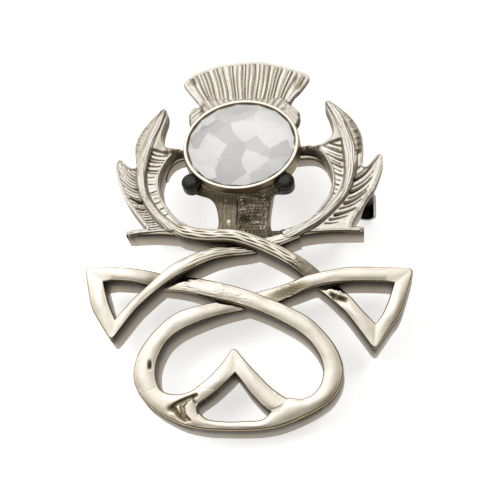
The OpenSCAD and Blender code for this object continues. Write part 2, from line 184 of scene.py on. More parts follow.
# %% Sky
SKY_TOWARD = Vector((-0.28, 0.48, 0.83)).normalized()
SKY_STEPS = ((0.1, 0.05), (0.45, 0.14), (0.68, 0.28), (0.82, 0.48), (0.9, 0.66), (0.95, 0.80), (0.985, 0.97))
SKY_STRENGTH = 1.3

world = bpy.data.worlds.new("studio")
scene.world = world
world.use_nodes = True
sky = world.node_tree
sky.nodes.clear()
sky_place = sky.nodes.new("ShaderNodeTexCoord")
sky_light = sky.nodes.new("ShaderNodeBackground")
sky_out = sky.nodes.new("ShaderNodeOutputWorld")
toward = reach_along(sky, sky_place.outputs["Generated"], SKY_TOWARD)
# Darker steps are browner, as a warm unlit room is.
sky_tones = [(0.0, (0.035, 0.033, 0.028))]
sky_tones += [(at, (tone, tone * (0.89 + 0.1 * tone), tone * (0.70 + 0.26 * tone)))
              for at, tone in SKY_STEPS]
sky_tones.append((1.0, (1.0, 0.99, 0.97)))
sky.links.new(toned(sky, sky_tones, toward), sky_light.inputs["Color"])
sky_light.inputs["Strength"].default_value = SKY_STRENGTH
sky.links.new(sky_light.outputs[0], sky_out.inputs[0])
scene.view_settings.view_transform = "Standard"
print("sky tones", len(sky_tones))

# %% [markdown]
# Two soft lamps shade the parts that aren't mirrors, such as the dull
# ground of the neck, which also carries painted shade, and throw the pale
# shadow. They are hidden from reflections, because the sky alone has to be
# seen in the crowns.

# %% Soft lights
def soft_light(name, place, aim, size, power):
    """A square soft light at a place in metres, aimed at a point."""
    data = bpy.data.lights.new(name, "AREA")
    data.shape = "SQUARE"
    data.size = size
    data.energy = power
    lamp = bpy.data.objects.new(name, data)
    scene.collection.objects.link(lamp)
    lamp.location = place
    lamp.visible_glossy = False
    lamp.rotation_euler = (Vector(aim) - Vector(place)).to_track_quat("-Z", "Y").to_euler()
    return lamp


soft_light("key_light", (-0.30, 0.02, 0.26), (0, 0, 0), 0.26, 1.5)
soft_light("fill_light", (0.28, 0.16, 0.30), (0, 0, 0), 0.24, 0.9)

# %% [markdown]
# The brooch lies on a plain pale sheet. A round disc does for it, so wide
# that its edge is far off even in a low view. It gives off some light of
# its own, because paper that is lit for a cut-out picture is nearly white,
# and that leaves only a faint shadow. Noise gives it a trace of tone. Noise
# reads the object's own coordinates, so a pattern stays where it is from
# any side, and needs no unwrapped mesh, as an image would.

# %% Table
TABLE_R = 0.9
TABLE_GLOW = 0.66


def noise_on(tree, place, size, detail):
    """Noise over the object's coordinates."""
    noise = tree.nodes.new("ShaderNodeTexNoise")
    noise.inputs["Scale"].default_value = size
    noise.inputs["Detail"].default_value = detail
    tree.links.new(place.outputs["Object"], noise.inputs["Vector"])
    return noise.outputs["Fac"]


bpy.ops.object.select_all(action="DESELECT")
bpy.ops.mesh.primitive_circle_add(vertices=64, radius=TABLE_R, fill_type="NGON", location=(0, 0, 0))
table = bpy.context.active_object
table.name = "table_top"
table_paint, tree, shader = new_material("table_paint")
place = tree.nodes.new("ShaderNodeTexCoord")
paper = toned(tree, ((0.0, (0.58, 0.58, 0.58)), (1.0, (0.61, 0.61, 0.61))), noise_on(tree, place, 40, 2))
tree.links.new(paper, shader.inputs["Base Color"])
shader.inputs["Roughness"].default_value = 0.7
shader.inputs["Emission Color"].default_value = (1, 1, 1, 1)
shader.inputs["Emission Strength"].default_value = TABLE_GLOW
table.data.materials.append(table_paint)
print("table, mm across", round(2 * TABLE_R / MM))

# %% [markdown]
# Worn metal is a plain metal changed by its place and shape. Three more
# helpers do the changing: one lays a colour over another, one subtracts or
# multiplies, and one carries a value from one range to another. The last
# says where a height on the flat brooch lies once the brooch is seated.

# %% Helpers for worn metal
def colour_mix(tree, mode, factor, a, b):
    """Two colours mixed; the factor is a number or a socket."""
    mix = tree.nodes.new("ShaderNodeMix")
    mix.data_type = "RGBA"
    mix.blend_type = mode
    if isinstance(factor, float):
        mix.inputs["Factor"].default_value = factor
    else:
        tree.links.new(factor, mix.inputs["Factor"])
    for socket, colour in (("A", a), ("B", b)):
        if isinstance(colour, tuple):
            mix.inputs[socket].default_value = colour
        else:
            tree.links.new(colour, mix.inputs[socket])
    return mix.outputs["Result"]


def combined(tree, operation, a, b):
    """Two values put through one step of arithmetic."""
    step = tree.nodes.new("ShaderNodeMath")
    step.operation = operation
    tree.links.new(a, step.inputs[0])
    tree.links.new(b, step.inputs[1])
    return step.outputs[0]


def remapped(tree, value, low, high, at_low=0.0, at_high=1.0, shape="LINEAR"):
    """A value carried from one range to another, and held at its ends."""
    share = tree.nodes.new("ShaderNodeMapRange")
    share.interpolation_type = shape
    for socket, number in (("From Min", low), ("From Max", high), ("To Min", at_low), ("To Max", at_high)):
        share.inputs[socket].default_value = number
    tree.links.new(value, share.inputs["Value"])
    return share.outputs["Result"]


def level_at(z):
    """Where a flat height in millimetres lies along UP, in metres."""
    return (z + SHIFT @ UP) * MM


print("the flat back lies at", round(level_at(0) / MM, 2), "mm along the brooch's own up")

# %% [markdown]
# The casting is plated and polished by a buffing wheel, which reaches the
# crowns but not the upright walls and the hollows. So the material goes by
# the direction a surface faces, and its colour paints in light and shade:
# silver on top, painted golden and then dark brown shade over the
# shoulders, and taupe on the walls, with painted shade near their upper
# edge and a painted reflection of the pale table lower down. A piece can
# store how hollow each point is, and hollows get tarnish with painted
# shade: darker, duller and less like bare metal.

# %% Plated metal
# Painted wall shade by height: a painted reflection of the pale table low down, dark shade near the upper
# edge.
PAINTED_WALL_TONES = ((0.0, (0.40, 0.355, 0.29)), (0.5, (0.25, 0.218, 0.17)),
              (0.8, (0.10, 0.082, 0.06)), (1.0, (0.02, 0.016, 0.01)))
TARNISH_AND_SHADE_TONES = ((0.0, (1, 1, 1)), (0.3, (0.74, 0.71, 0.64)), (0.58, (0.36, 0.32, 0.245)),
                 (0.82, (0.12, 0.10, 0.075)), (1.0, (0.02, 0.017, 0.012)))
CLOUD_TONES = ((0.32, (0.80, 0.74, 0.64)), (0.62, (1, 1, 1)))
SPECK_TONES = ((0.32, (0.55, 0.48, 0.36)), (0.5, (1, 1, 1)))
CLOUD_SIZE = 330
SPECK_SIZE = 2600
WALL_ROUGHNESS = 0.42


def plated_metal(name, polish, grain_size, grain_depth, painted_facing_tones, speckle, painted_wall_tones=PAINTED_WALL_TONES):
    """Plated casting metal, with light and shade painted by the way it faces, its height and its hollows."""
    made, tree, shader = new_material(name)
    place = tree.nodes.new("ShaderNodeTexCoord")
    stored = tree.nodes.new("ShaderNodeAttribute")
    stored.attribute_name = "hollow"
    hollow = stored.outputs["Fac"]
    # Painted light and shade by facing: near white tops, golden and dark brown shoulders.
    facing = reach_along(tree, place.outputs["Normal"], UP)
    on_top = remapped(tree, facing, 0.12, 0.4, shape="SMOOTHSTEP")
    # Painted shade by height on the walls: dark near the upper edge, a painted reflection of the table near
    # the foot.
    height = reach_along(tree, place.outputs["Object"], UP)
    height = remapped(tree, height, level_at(0.2), level_at(4.1), shape="SMOOTHSTEP")

    colour = colour_mix(tree, "MIX", on_top, toned(tree, painted_wall_tones, height), toned(tree, painted_facing_tones, facing))
    clouds = toned(tree, CLOUD_TONES, noise_on(tree, place, CLOUD_SIZE, 5))
    colour = colour_mix(tree, "MULTIPLY", 0.25 + 0.6 * speckle, colour, clouds)
    specks = toned(tree, SPECK_TONES, noise_on(tree, place, SPECK_SIZE, 3))
    colour = colour_mix(tree, "MULTIPLY", speckle, colour, specks)
    # Tarnish with painted shade: darker the more hollow a point is.
    colour = colour_mix(tree, "MULTIPLY", 1.0, colour, toned(tree, TARNISH_AND_SHADE_TONES, hollow))
    tree.links.new(colour, shader.inputs["Base Color"])

    open_top = combined(tree, "SUBTRACT", facing, hollow)
    tree.links.new(remapped(tree, open_top, 0.15, 0.7, WALL_ROUGHNESS, polish), shader.inputs["Roughness"])
    tree.links.new(remapped(tree, hollow, 0.35, 0.95, 1.0, 0.4), shader.inputs["Metallic"])

    # A polished face keeps only the slow waves of the casting, a satin one its grain.
    bump = tree.nodes.new("ShaderNodeBump")
    bump.inputs["Strength"].default_value = 0.45
    bump.inputs["Distance"].default_value = grain_depth * MM
    tree.links.new(noise_on(tree, place, grain_size, 1 if polish < 0.2 else 6), bump.inputs["Height"])
    tree.links.new(bump.outputs["Normal"], shader.inputs["Normal"])
    return made


print("plated metal has", len(TARNISH_AND_SHADE_TONES), "tones of tarnish")

# %% [markdown]
# The same metal is used three times. The bars are polished, with painted
# golden shade in their rounded edges. The relief of the leaves and the head
# is satin, and greyer. The stone's rim is polished, and its wall has an
# even painted brown shade, as little of the pale table shows in it.

# %% The casting's three finishes
# Painted light and shade by facing: white where a surface faces up, golden and dark brown as it turns away.
PAINTED_FACING_TONES = ((0.25, (0.05, 0.04, 0.026)), (0.5, (0.42, 0.31, 0.15)),
             (0.76, (0.88, 0.76, 0.53)), (0.96, (0.97, 0.94, 0.88)))
RELIEF_PAINTED_FACING_TONES = ((0.2, (0.14, 0.12, 0.09)), (0.4, (0.60, 0.54, 0.44)),
                (0.62, (0.95, 0.93, 0.87)), (0.95, (1.0, 0.99, 0.97)))
# The rim's wall gets an even painted brown shade.
RIM_PAINTED_WALL_TONES = ((0.0, (0.30, 0.26, 0.20)), (1.0, (0.36, 0.29, 0.19)))

bar_metal = plated_metal("bar_metal", 0.08, 420, 0.09, PAINTED_FACING_TONES, 0.08)
relief_metal = plated_metal("relief_metal", 0.33, 900, 0.07, RELIEF_PAINTED_FACING_TONES, 0.35)
rim_metal = plated_metal("rim_metal", 0.12, 700, 0.03, PAINTED_FACING_TONES, 0.1, RIM_PAINTED_WALL_TONES)
print("finishes", bar_metal.name, relief_metal.name, rim_metal.name)

# %% [markdown]
# The casting could be shaped by hand with extrude, bevel and proportional
# moves. Its bars change in width and height all along, cross each other
# with dips, and carry grooves a tenth of a millimetre deep, which operators
# can't place with any care. So each new piece comes from points on the flat
# brooch. One helper seats them, closes the shell so that its faces look
# outward, and shades it smooth except along its sharp edges.

# %% Helper for new pieces
pieces = {}


def make_piece(name, points, faces, material, hollow=None, sharp=38):
    """A piece from flat points in millimetres and its faces."""
    mesh = bpy.data.meshes.new(name)
    mesh.from_pydata([tuple(p) for p in seat(points)], [], [tuple(f) for f in faces])
    made = bpy.data.objects.new(name, mesh)
    scene.collection.objects.link(made)
    if hollow is not None:
        store = mesh.attributes.new("hollow", "FLOAT", "POINT")
        store.data.foreach_set("value", np.asarray(hollow, float))
    shell = bmesh.new()
    shell.from_mesh(mesh)
    bmesh.ops.remove_doubles(shell, verts=shell.verts, dist=0.002 * MM)
    bmesh.ops.recalc_face_normals(shell, faces=shell.faces)
    shell.to_mesh(mesh)
    shell.free()
    mesh.materials.append(material)
    bpy.ops.object.select_all(action="DESELECT")
    made.select_set(True)
    bpy.context.view_layer.objects.active = made
    bpy.ops.object.shade_smooth_by_angle(angle=math.radians(sharp))
    made.select_set(False)
    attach(made, "root")
    pieces[name] = made
    print(name, len(mesh.polygons), "faces")
    return made


# %% [markdown]
# A knot's bar is a sweep: one section carried along a path. A curve with a
# bevel object would give it one width and one height. Here each row of a
# table is one section across the bar, with the columns outer x, outer y,
# inner x, inner y, share of the dip under a crossing bar, and 1 for a sharp
# corner. Zeros at a row's end are left out. A smooth curve through the rows
# gives the sections between them, and stops at a sharp corner.

# %% Smooth steps between rows
def smooth_rows(rows, steps, sharp=None):
    """Rows with smooth steps between each pair; a sharp row ends the curve."""
    table = np.asarray(rows, float)
    fine = []
    for i in range(len(table) - 1):
        a, b = table[i], table[i + 1]
        starts = i == 0 or (sharp is not None and a[sharp] == 1)
        ends = i == len(table) - 2 or (sharp is not None and b[sharp] == 1)
        before = 2 * a - b if starts else table[i - 1]
        after = 2 * b - a if ends else table[i + 2]
        for k in range(steps):
            t = k / steps
            fine.append(0.5 * (2 * a + (b - before) * t + (2 * before - 5 * a + 4 * b - after) * t ** 2
                               + (3 * a - before - 3 * b + after) * t ** 3))
    fine.append(table[-1])
    return np.array(fine)


def full_rows(rows):
    """A bar's rows with the zeros that its table leaves out."""
    return [tuple(row) + (0,) * (6 - len(row)) for row in rows]


print("rows in", len(smooth_rows(full_rows([(0, 0, 1, 0), (0, 2, 1, 2)]), 4)), "steps for a short test bar")

# %% [markdown]
# Cut across, a bar has two upright walls, a small round shoulder over each,
# and a crown that is nearly flat. The crown is a little full in the middle
# and leans to one side or the other along the bar, so its reflection
# wanders as on a hand-finished casting. Where a bar is ridged, thin uneven
# grooves run along it.

# %% One section of a bar
CROWN_POINTS = 26
SHOULDER = 0.36


def bar_section(row, ridge, lean, pillow, dull_crown, along):
    """One section of a bar: upright walls, round shoulders and a full crown."""
    outer, inner = row[0:2], row[2:4]
    width = np.linalg.norm(inner - outer)
    across = (inner - outer) / width
    top = CAST_T - DIP * max(0, row[4])
    edge = min(SHOULDER, width / 3)
    turn = [math.radians(90) * k / 7 for k in range(8)]
    left = [(edge - edge * math.cos(a), top - edge + edge * math.sin(a), 0) for a in turn]
    crown = []
    for k in range(1, CROWN_POINTS + 1):
        share = k / (CROWN_POINTS + 1)
        # A few grooves, which drift across the crown and come and go along it.
        drift = 6 * math.pi * share + 0.7 * math.sin(1.1 * along) + 0.4 * math.sin(2.7 * along + 3 * share)
        rib = 1 - (0.6 + 0.4 * math.sin(1.9 * along + 7 * share)) * (0.5 + 0.5 * math.cos(drift)) ** 3
        full = (pillow * (width - 2 * edge) + lean * (share - 0.5)) * 4 * share * (1 - share)
        # Grooves are darkened with tarnish and painted shade, and a dull crown with tarnish.
        groove = 0.8 * (1 - rib) * ridge / RIDGE_H
        crown.append((edge + (width - 2 * edge) * share, top + full + ridge * (0.5 + 0.5 * rib),
                      max(groove, dull_crown * math.sin(math.pi * share) ** 0.5)))
    right_side = [(width - p[0], p[1], 0) for p in reversed(left)]
    profile = [(0, 0, 0)] + left + crown + right_side + [(width, 0, 0)]
    return [(outer[0] + across[0] * p[0], outer[1] + across[1] * p[0], p[1], p[2]) for p in profile]


print("points in a section", len(bar_section(np.array([0, 0, 2.5, 0, 0, 0.0]), 0, 0, 0, 0, 0)))

# %% [markdown]
# Wear, casting flaws and painted light are where they are on the real
# brooch: a dark nick on the left of the loop, a painted dark reflection in
# two patches of the right arrow, painted shade under a crossing, and a few
# places with shallow pits. They could be sculpted. Two short tables keep
# them in the same numbers as the bars, so they stay put when a bar's
# section changes.

# %% Marks and pits on the crowns
# Marks of wear, painted reflection and painted shade: x, y, half length, half width, turn in degrees,
# strength.
WEAR_AND_PAINTED_SHADE_MARKS = [
    (-12.3, -17.4, 0.66, 0.28, 94, 1.0),
    (14.7, -7.35, 1.0, 0.5, -25, 1.0),
    (13.5, -6.7, 0.7, 0.4, -40, 1.0),
    (7.0, -6.0, 3.2, 0.75, 15, 0.68),
]
# Pitted places: x, y, radius, depth.
PITTED = [
    (-3.2, -5.4, 1.7, 0.05), (0.4, -7.2, 1.3, 0.04), (2.2, -11.3, 1.5, 0.05), (8.2, -1.7, 0.9, 0.06),
    (-7.6, -5.0, 1.4, 0.05), (7.0, -6.0, 2.0, 0.09), (13.9, -6.9, 1.3, 0.08),
]
MARK_DEPTH = 0.12


def crown_marks(points):
    """Darkening by wear, painted reflection and painted shade, and change of height, that the tables of
    marks and pits give to points.
    """
    x, y = points[:, 0], points[:, 1]
    darkening = np.zeros(len(points))
    rise = np.zeros(len(points))
    for mx, my, half_long, half_wide, degrees, strength in WEAR_AND_PAINTED_SHADE_MARKS:
        c, s = math.cos(math.radians(degrees)), math.sin(math.radians(degrees))
        u, v = (x - mx) * c + (y - my) * s, (y - my) * c - (x - mx) * s
        mark = strength * np.exp(-(u / half_long) ** 4 - (v / half_wide) ** 4)
        darkening = np.maximum(darkening, mark)
        rise -= MARK_DEPTH * mark
    for mx, my, radius, depth in PITTED:
        near = np.exp(-((x - mx) ** 2 + (y - my) ** 2) / radius ** 2)
        rise += depth * near * np.sin(9 * x + 3 * np.sin(5 * y)) * np.sin(8 * y + 2 * np.sin(7 * x))
    return darkening, rise


print("marks", len(WEAR_AND_PAINTED_SHADE_MARKS), "pitted places", len(PITTED))

# %% [markdown]
# The arrow ends have two sharp corners each, and the chevron has one. The
# inner outline is sharp there, and the outer one is turned on a small
# curve, as a polished corner is. The sections are then joined into one
# closed shell. Near a corner the crown stays level, so that no fold shows
# along the mitre.

# %% Helper for bars
BAR_STEPS = 12
PILLOW = 0.075
SWAY = 0.07
CALM = 4.0
CORNER_R = 0.7


def round_corners(fine):
    """The rows with each sharp outer corner turned on a small curve."""
    for j in reversed(np.flatnonzero(fine[:, 5] == 1)):
        corner, first, last = fine[j], j, j
        while first > 0 and np.linalg.norm(fine[first, 0:2] - corner[0:2]) < CORNER_R:
            first -= 1
        while last < len(fine) - 1 and np.linalg.norm(fine[last, 0:2] - corner[0:2]) < CORNER_R:
            last += 1
        a, b = fine[first], fine[last]
        arc = []
        for t in np.linspace(0, 1, 11):
            row = (a + (corner - a) * 2 * t) if t < 0.5 else (corner + (b - corner) * (2 * t - 1))
            row[0:2] = (1 - t) ** 2 * a[0:2] + 2 * t * (1 - t) * corner[0:2] + t ** 2 * b[0:2]
            arc.append(row)
        fine = np.vstack([fine[:first], arc, fine[last + 1:]])
    return fine


def make_bar(name, rows, ridged_to=-1, dull_crown=0.0, ridge_h=RIDGE_H):
    """A bar swept through its rows; its ridges fade after the row ridged_to."""
    fine = smooth_rows(full_rows(rows), BAR_STEPS, 5)
    fine[np.arange(len(fine)) % BAR_STEPS > 0, 5] = 0
    fade = np.clip(ridged_to + 1 - np.arange(len(fine)) / BAR_STEPS, 0, 1)
    fine = round_corners(fine)
    fade = np.concatenate([fade, np.zeros(len(fine))])
    middle = (fine[:, 0:2] + fine[:, 2:4]) / 2
    along = np.concatenate([[0], np.cumsum(np.linalg.norm(np.diff(middle, axis=0), axis=1))])
    corners = along[np.flatnonzero(fine[:, 5] > 0.9)]
    sections = []
    for k, row in enumerate(fine):
        # The crown is calm near a corner and level at the bar's ends.
        calm = min([1] + [abs(along[k] - c) / CALM for c in corners])
        ends = min(calm, along[k] / 2, (along[-1] - along[k]) / 2)
        lean = SWAY * ends * (math.sin(0.55 * along[k]) + 0.6 * math.sin(1.3 * along[k] + 1))
        sections.append(bar_section(row, ridge_h * fade[k], lean, PILLOW * calm, dull_crown, along[k]))
    n = len(sections[0])
    points = np.array([p for section in sections for p in section])
    # Marks darken the crown: wear, a painted dark reflection and painted shade.
    darkening, rise = crown_marks(points)
    on_crown = (points[:, 2] > CAST_T - DIP * 1.05) & (points[:, 3] >= 0)
    points[:, 2] += np.where(on_crown, rise, 0)
    hollow = np.where(on_crown, np.maximum(points[:, 3], darkening), 0)
    faces = [(s * n + k, s * n + (k + 1) % n, (s + 1) * n + (k + 1) % n, (s + 1) * n + k)
             for s in range(len(sections) - 1) for k in range(n)]
    faces.append(tuple(range(n)))
    faces.append(tuple((len(sections) - 1) * n + k for k in range(n)))
    return make_piece(name, points[:, 0:3], faces, bar_metal, hollow, sharp=50)


print("a bar is full by", PILLOW, "of its width")

# %% [markdown]
# The first long bar starts beside the right leaf, dips under the second,
# turns back through the left arrow and becomes the right half of the loop.
# It is swept in two parts that share one section in the arrow, so each
# table stays short enough to read. Its upper end has fine ridges, which
# fade out lower down.

# %% Left arrow and right half of the loop
LEFT_ARROW = [
    (8.7, 2.3, 8.2, 4.0, 0.5),
    (6.7, 1.5, 5.9, 3.3, 0.6),
    (4.0, 0.7, 3.1, 2.8, 1.0),
    (1.4, 0.0, 0.7, 2.1, 1.0),
    (-1.2, -0.4, -1.8, 1.5, 0.7),
    (-3.8, -1.1, -4.6, 0.9, 0.2),
    (-6.4, -2.3, -7.4, -0.3),
    (-8.8, -3.5, -10.0, -1.7),
    (-10.7, -4.8, -12.0, -3.4),
    (-12.4, -6.3, -13.6, -5.1),
    (-14.0, -7.9, -15.2, -6.7),
    (-15.3, -9.4, -16.5, -8.3),
    (-18.3, -13.8, -18.0, -10.3, 0.05, 1),
    (-20.7, -10.3, -19.0, -8.2),
    (-22.0, -7.8, -19.6, -6.5),
    (-23.4, -2.0, -20.2, -4.6, 0, 1),
    (-19.5, -2.0, -19.0, -4.4),
]
LOOP_RIGHT = [
    (-19.5, -2.0, -19.0, -4.4),
    (-16.4, -2.3, -16.2, -4.6),
    (-13.7, -2.6, -14.1, -5.0, 0.3),
    (-10.1, -3.1, -11.5, -5.4, 1.0),
    (-6.5, -3.7, -8.0, -6.0, 0.6),
    (-3.6, -4.6, -4.2, -7.2, 0.05),
    (-0.6, -5.4, -1.1, -8.0),
    (2.0, -6.3, 1.2, -8.8),
    (4.6, -7.4, 3.5, -9.7),
    (7.4, -8.7, 5.9, -10.9),
    (10.2, -10.4, 8.4, -12.4),
    (12.4, -12.6, 10.3, -14.1),
    (14.0, -14.9, 11.6, -16.1),
    (14.9, -17.4, 12.1, -17.9),
    (14.9, -19.2, 12.0, -19.3),
    (14.2, -21.1, 11.5, -20.6),
    (12.9, -22.7, 10.5, -21.7),
    (11.0, -24.0, 9.2, -22.2),
]
make_bar("bar_left_arrow", LEFT_ARROW, 6, ridge_h=0.1)
make_bar("bar_loop_right", LOOP_RIGHT)

# %% [markdown]
# The second long bar runs the other way. It lies over the first at the top,
# passes under itself beside the right arrow, and goes under the first at
# the loop. Its ridges are deeper. The first bar isn't simply mirrored,
# because the real knot's two halves differ by a millimetre in many places.

# %% Right arrow and left half of the loop
RIGHT_ARROW = [
    (-11.4, 4.1, -10.4, 5.3, 0.5),
    (-9.4, 2.7, -8.4, 4.6),
    (-7.5, 2.1, -6.7, 4.1),
    (-5.2, 1.8, -4.8, 3.9),
    (-3.1, 1.8, -2.8, 3.9),
    (-1.2, 1.6, -0.6, 3.7),
    (0.7, 1.0, 1.5, 3.0),
    (2.8, 0.1, 3.8, 2.0),
    (5.1, -1.1, 6.3, 0.7),
    (7.2, -2.4, 8.6, -0.7, 0.03),
    (8.9, -3.7, 10.5, -2.0, 0.4),
    (10.7, -5.2, 12.5, -3.6, 1.0),
    (12.6, -6.8, 14.4, -5.3, 0.8),
    (14.3, -8.6, 16.1, -7.2, 0.2),
    (15.6, -10.1, 17.4, -8.9),
    (19.3, -15.4, 19.5, -11.3, 0.05, 1),
    (21.6, -11.9, 20.4, -10.0),
    (23.2, -9.4, 21.2, -8.2),
    (25.2, -2.9, 22.2, -5.3, 0, 1),
    (21.6, -2.7, 21.0, -5.1),
]
LOOP_LEFT = [
    (21.6, -2.7, 21.0, -5.1),
    (18.9, -2.6, 18.5, -5.0),
    (15.8, -2.6, 16.0, -5.0),
    (12.6, -3.1, 13.2, -5.2),
    (10.2, -3.7, 10.8, -5.7),
    (8.2, -4.3, 8.7, -6.5, 0.3),
    (6.4, -4.8, 6.8, -7.2, 0.7),
    (4.4, -5.3, 4.8, -7.9, 1.0),
    (1.4, -6.1, 2.0, -8.6, 1.0),
    (-1.6, -7.0, -0.9, -9.3, 0.7),
    (-4.3, -7.8, -3.2, -10.0, 0.3),
    (-6.9, -8.6, -5.7, -11.0),
    (-9.0, -9.4, -7.6, -11.9),
    (-10.7, -10.7, -9.1, -12.9),
    (-12.2, -12.3, -10.2, -14.1),
    (-13.5, -14.2, -10.9, -15.5),
    (-14.4, -16.2, -11.3, -16.8),
    (-14.7, -18.1, -11.4, -18.2),
    (-14.5, -19.8, -11.2, -19.5),
    (-13.7, -21.5, -10.8, -20.5),
]
make_bar("bar_right_arrow", RIGHT_ARROW, 9)
make_bar("bar_loop_left", LOOP_LEFT)

# %% [markdown]
# The loop's foot closes the oval below, and the chevron stands in it. Both
# are short plain bars, and their ends are hidden in the fold and the joint
# that come next.

# %% Foot of the loop and chevron
LOOP_FOOT = [
    (11.0, -24.0, 9.2, -22.2),
    (8.6, -25.2, 6.8, -22.2),
    (6.2, -26.1, 5.0, -24.0),
    (3.9, -26.55, 3.8, -25.1),
    (1.5, -26.7, 1.5, -25.3),
    (-0.9, -26.7, -0.8, -25.4),
    (-3.7, -26.6, -3.6, -25.1),
    (-5.8, -26.3, -4.9, -24.2),
]
CHEVRON = [
    (-5.4, -20.4, -2.5, -21.1),
    (-3.8, -19.0, -1.5, -20.1),
    (-2.1, -17.0, -0.8, -19.4),
    (-0.5, -14.6, -0.1, -18.6, 0, 1),
    (1.9, -17.4, 1.1, -20.2),
    (3.3, -18.9, 2.0, -21.4),
    (4.8, -20.4, 3.0, -22.5),
    (6.2, -21.5, 3.9, -23.4),
    (7.5, -22.3, 5.0, -24.1),
    (8.7, -22.9, 7.3, -24.6, 0.4),
]
make_bar("bar_loop_foot", LOOP_FOOT)
make_bar("bar_chevron", CHEVRON)

# %% [markdown]
# The leaves, neck, collar and tuft are cast relief: a flat-backed plate
# whose top rises and falls. Sculpting on a dense grid would do it. Here the
# outline is smoothed first, and these helpers then measure the plate: how
# far a point lies from a path, on which side, and whether it is inside. A
# soft step, ease, later blends one height into the next.

# %% Helpers that measure an outline
def resample(points, spacing):
    """A closed outline, smoothed through its points, with even spacing."""
    p = np.asarray(points, float)
    n = len(p)
    fine = []
    for i in range(n):
        p0, p1, p2, p3 = p[i - 1], p[i], p[(i + 1) % n], p[(i + 2) % n]
        for k in range(12):
            t = k / 12
            fine.append(0.5 * (2 * p1 + (p2 - p0) * t + (2 * p0 - 5 * p1 + 4 * p2 - p3) * t ** 2
                               + (3 * p1 - p0 - 3 * p2 + p3) * t ** 3))
    fine = np.array(fine)
    step = np.linalg.norm(np.roll(fine, -1, 0) - fine, axis=1)
    reach = np.concatenate([[0], np.cumsum(step)])
    count = int(reach[-1] / spacing)
    at = np.arange(count) * reach[-1] / count
    closed = np.vstack([fine, fine[:1]])
    return np.stack([np.interp(at, reach, closed[:, 0]), np.interp(at, reach, closed[:, 1])], 1)


def nearest_on(path, points, closed):
    """For each point: distance to a path, place along it, and side of it."""
    a = path if closed else path[:-1]
    b = np.roll(path, -1, 0) if closed else path[1:]
    d = b - a
    long = np.maximum(np.linalg.norm(d, axis=1), 1e-9)
    start = np.concatenate([[0], np.cumsum(long)[:-1]])
    gap = np.full(len(points), 1e9)
    along = np.zeros(len(points))
    side = np.zeros(len(points))
    for i in range(len(a)):
        v = points - a[i]
        t = np.clip((v @ d[i]) / long[i] ** 2, 0, 1)
        off = v - t[:, None] * d[i]
        far = np.linalg.norm(off, axis=1)
        near = far < gap
        gap = np.where(near, far, gap)
        along = np.where(near, start[i] + t * long[i], along)
        side = np.where(near, np.sign(d[i][0] * v[:, 1] - d[i][1] * v[:, 0]), side)
    return gap, along, side


def inside(outline, points):
    """True for the points inside a closed outline."""
    hits = np.zeros(len(points), int)
    for a, b in zip(outline, np.roll(outline, -1, 0)):
        crosses = (a[1] > points[:, 1]) != (b[1] > points[:, 1])
        with np.errstate(divide="ignore", invalid="ignore"):
            x = a[0] + (points[:, 1] - a[1]) * (b[0] - a[0]) / (b[1] - a[1])
        hits += crosses & (points[:, 0] < x)
    return hits % 2 == 1


def ease(x):
    """0 below 0, 1 above 1, smooth between."""
    x = np.clip(x, 0, 1)
    return x * x * (3 - 2 * x)


print("a square's outline has", len(resample([(0, 0), (1, 0), (1, 1), (0, 1)], 0.5)), "points at 0.5 mm")

# %% [markdown]
# A net of small triangles fills the outline, and a height is worked out for
# each of its points, as a carver would lower or leave the wax. The wall
# then goes down to the flat back, or to a raised underside where the real
# edge is thin. The triangles are made as even as the points allow, and they
# keep the outline's own edges, so the wall joins the top without a gap.

# %% Helper for cast relief
def fill(edge, flat):
    """Triangles between the flat points that lie inside the outline."""
    n = len(edge)
    ring = [(i, (i + 1) % n) for i in range(n)]
    verts, _, tris, _, _, _ = delaunay_2d_cdt([Vector(p) for p in flat], ring, [], 1, 1e-7, False)
    assert len(verts) == len(flat)
    middle = np.array([(flat[a] + flat[b] + flat[c]) / 3 for a, b, c in tris])
    return [tuple(t) for t, keep in zip(tris, inside(edge, middle)) if keep]


def make_relief(name, outline, surface, spacing=0.14, material=relief_metal, underside=None):
    """A plate whose top is surface(points, distance to the edge) -> height, hollow."""
    edge = resample(outline, spacing)
    low, high = edge.min(0), edge.max(0)
    rows = np.arange(low[1], high[1], spacing * 0.866)
    columns = np.arange(low[0], high[0], spacing)
    net = np.array([(x + (r % 2) * spacing / 2, y) for r, y in enumerate(rows) for x in columns])
    net = net[inside(edge, net)]
    gap, _, _ = nearest_on(edge, net, True)
    clear = gap > spacing * 0.55
    flat = np.vstack([edge, net[clear]])
    n = len(edge)
    height, hollow = surface(flat, np.concatenate([np.zeros(n), gap[clear]]))
    top = fill(edge, flat)
    points = [(p[0], p[1], h) for p, h in zip(flat, height)]
    under = underside(edge) if underside else np.zeros(n)
    points += [(p[0], p[1], h) for p, h in zip(edge, under)]
    below = len(flat)
    walls = [(i, (i + 1) % n, below + (i + 1) % n, below + i) for i in range(n)]
    bottom = [tuple(below + i for i in reversed(t)) for t in fill(edge, edge)]
    hollow = np.concatenate([hollow, np.zeros(n)])
    return make_piece(name, points, top + walls + bottom, material, hollow)


print("relief is made in", relief_metal.name, "unless another metal is given")

# %% [markdown]
# At the loop's lower left the knot folds: the bar that comes down the left
# side turns into the chevron's leg, and the foot's end lies over it. At the
# lower right the chevron's other leg runs into the loop. The bars stop
# inside these two pieces, whose tops keep the bars' height and full crown.
# At a seam the piece sinks a little under the bar, so no step shows, and
# the fold's creases are furrows along four short curves.

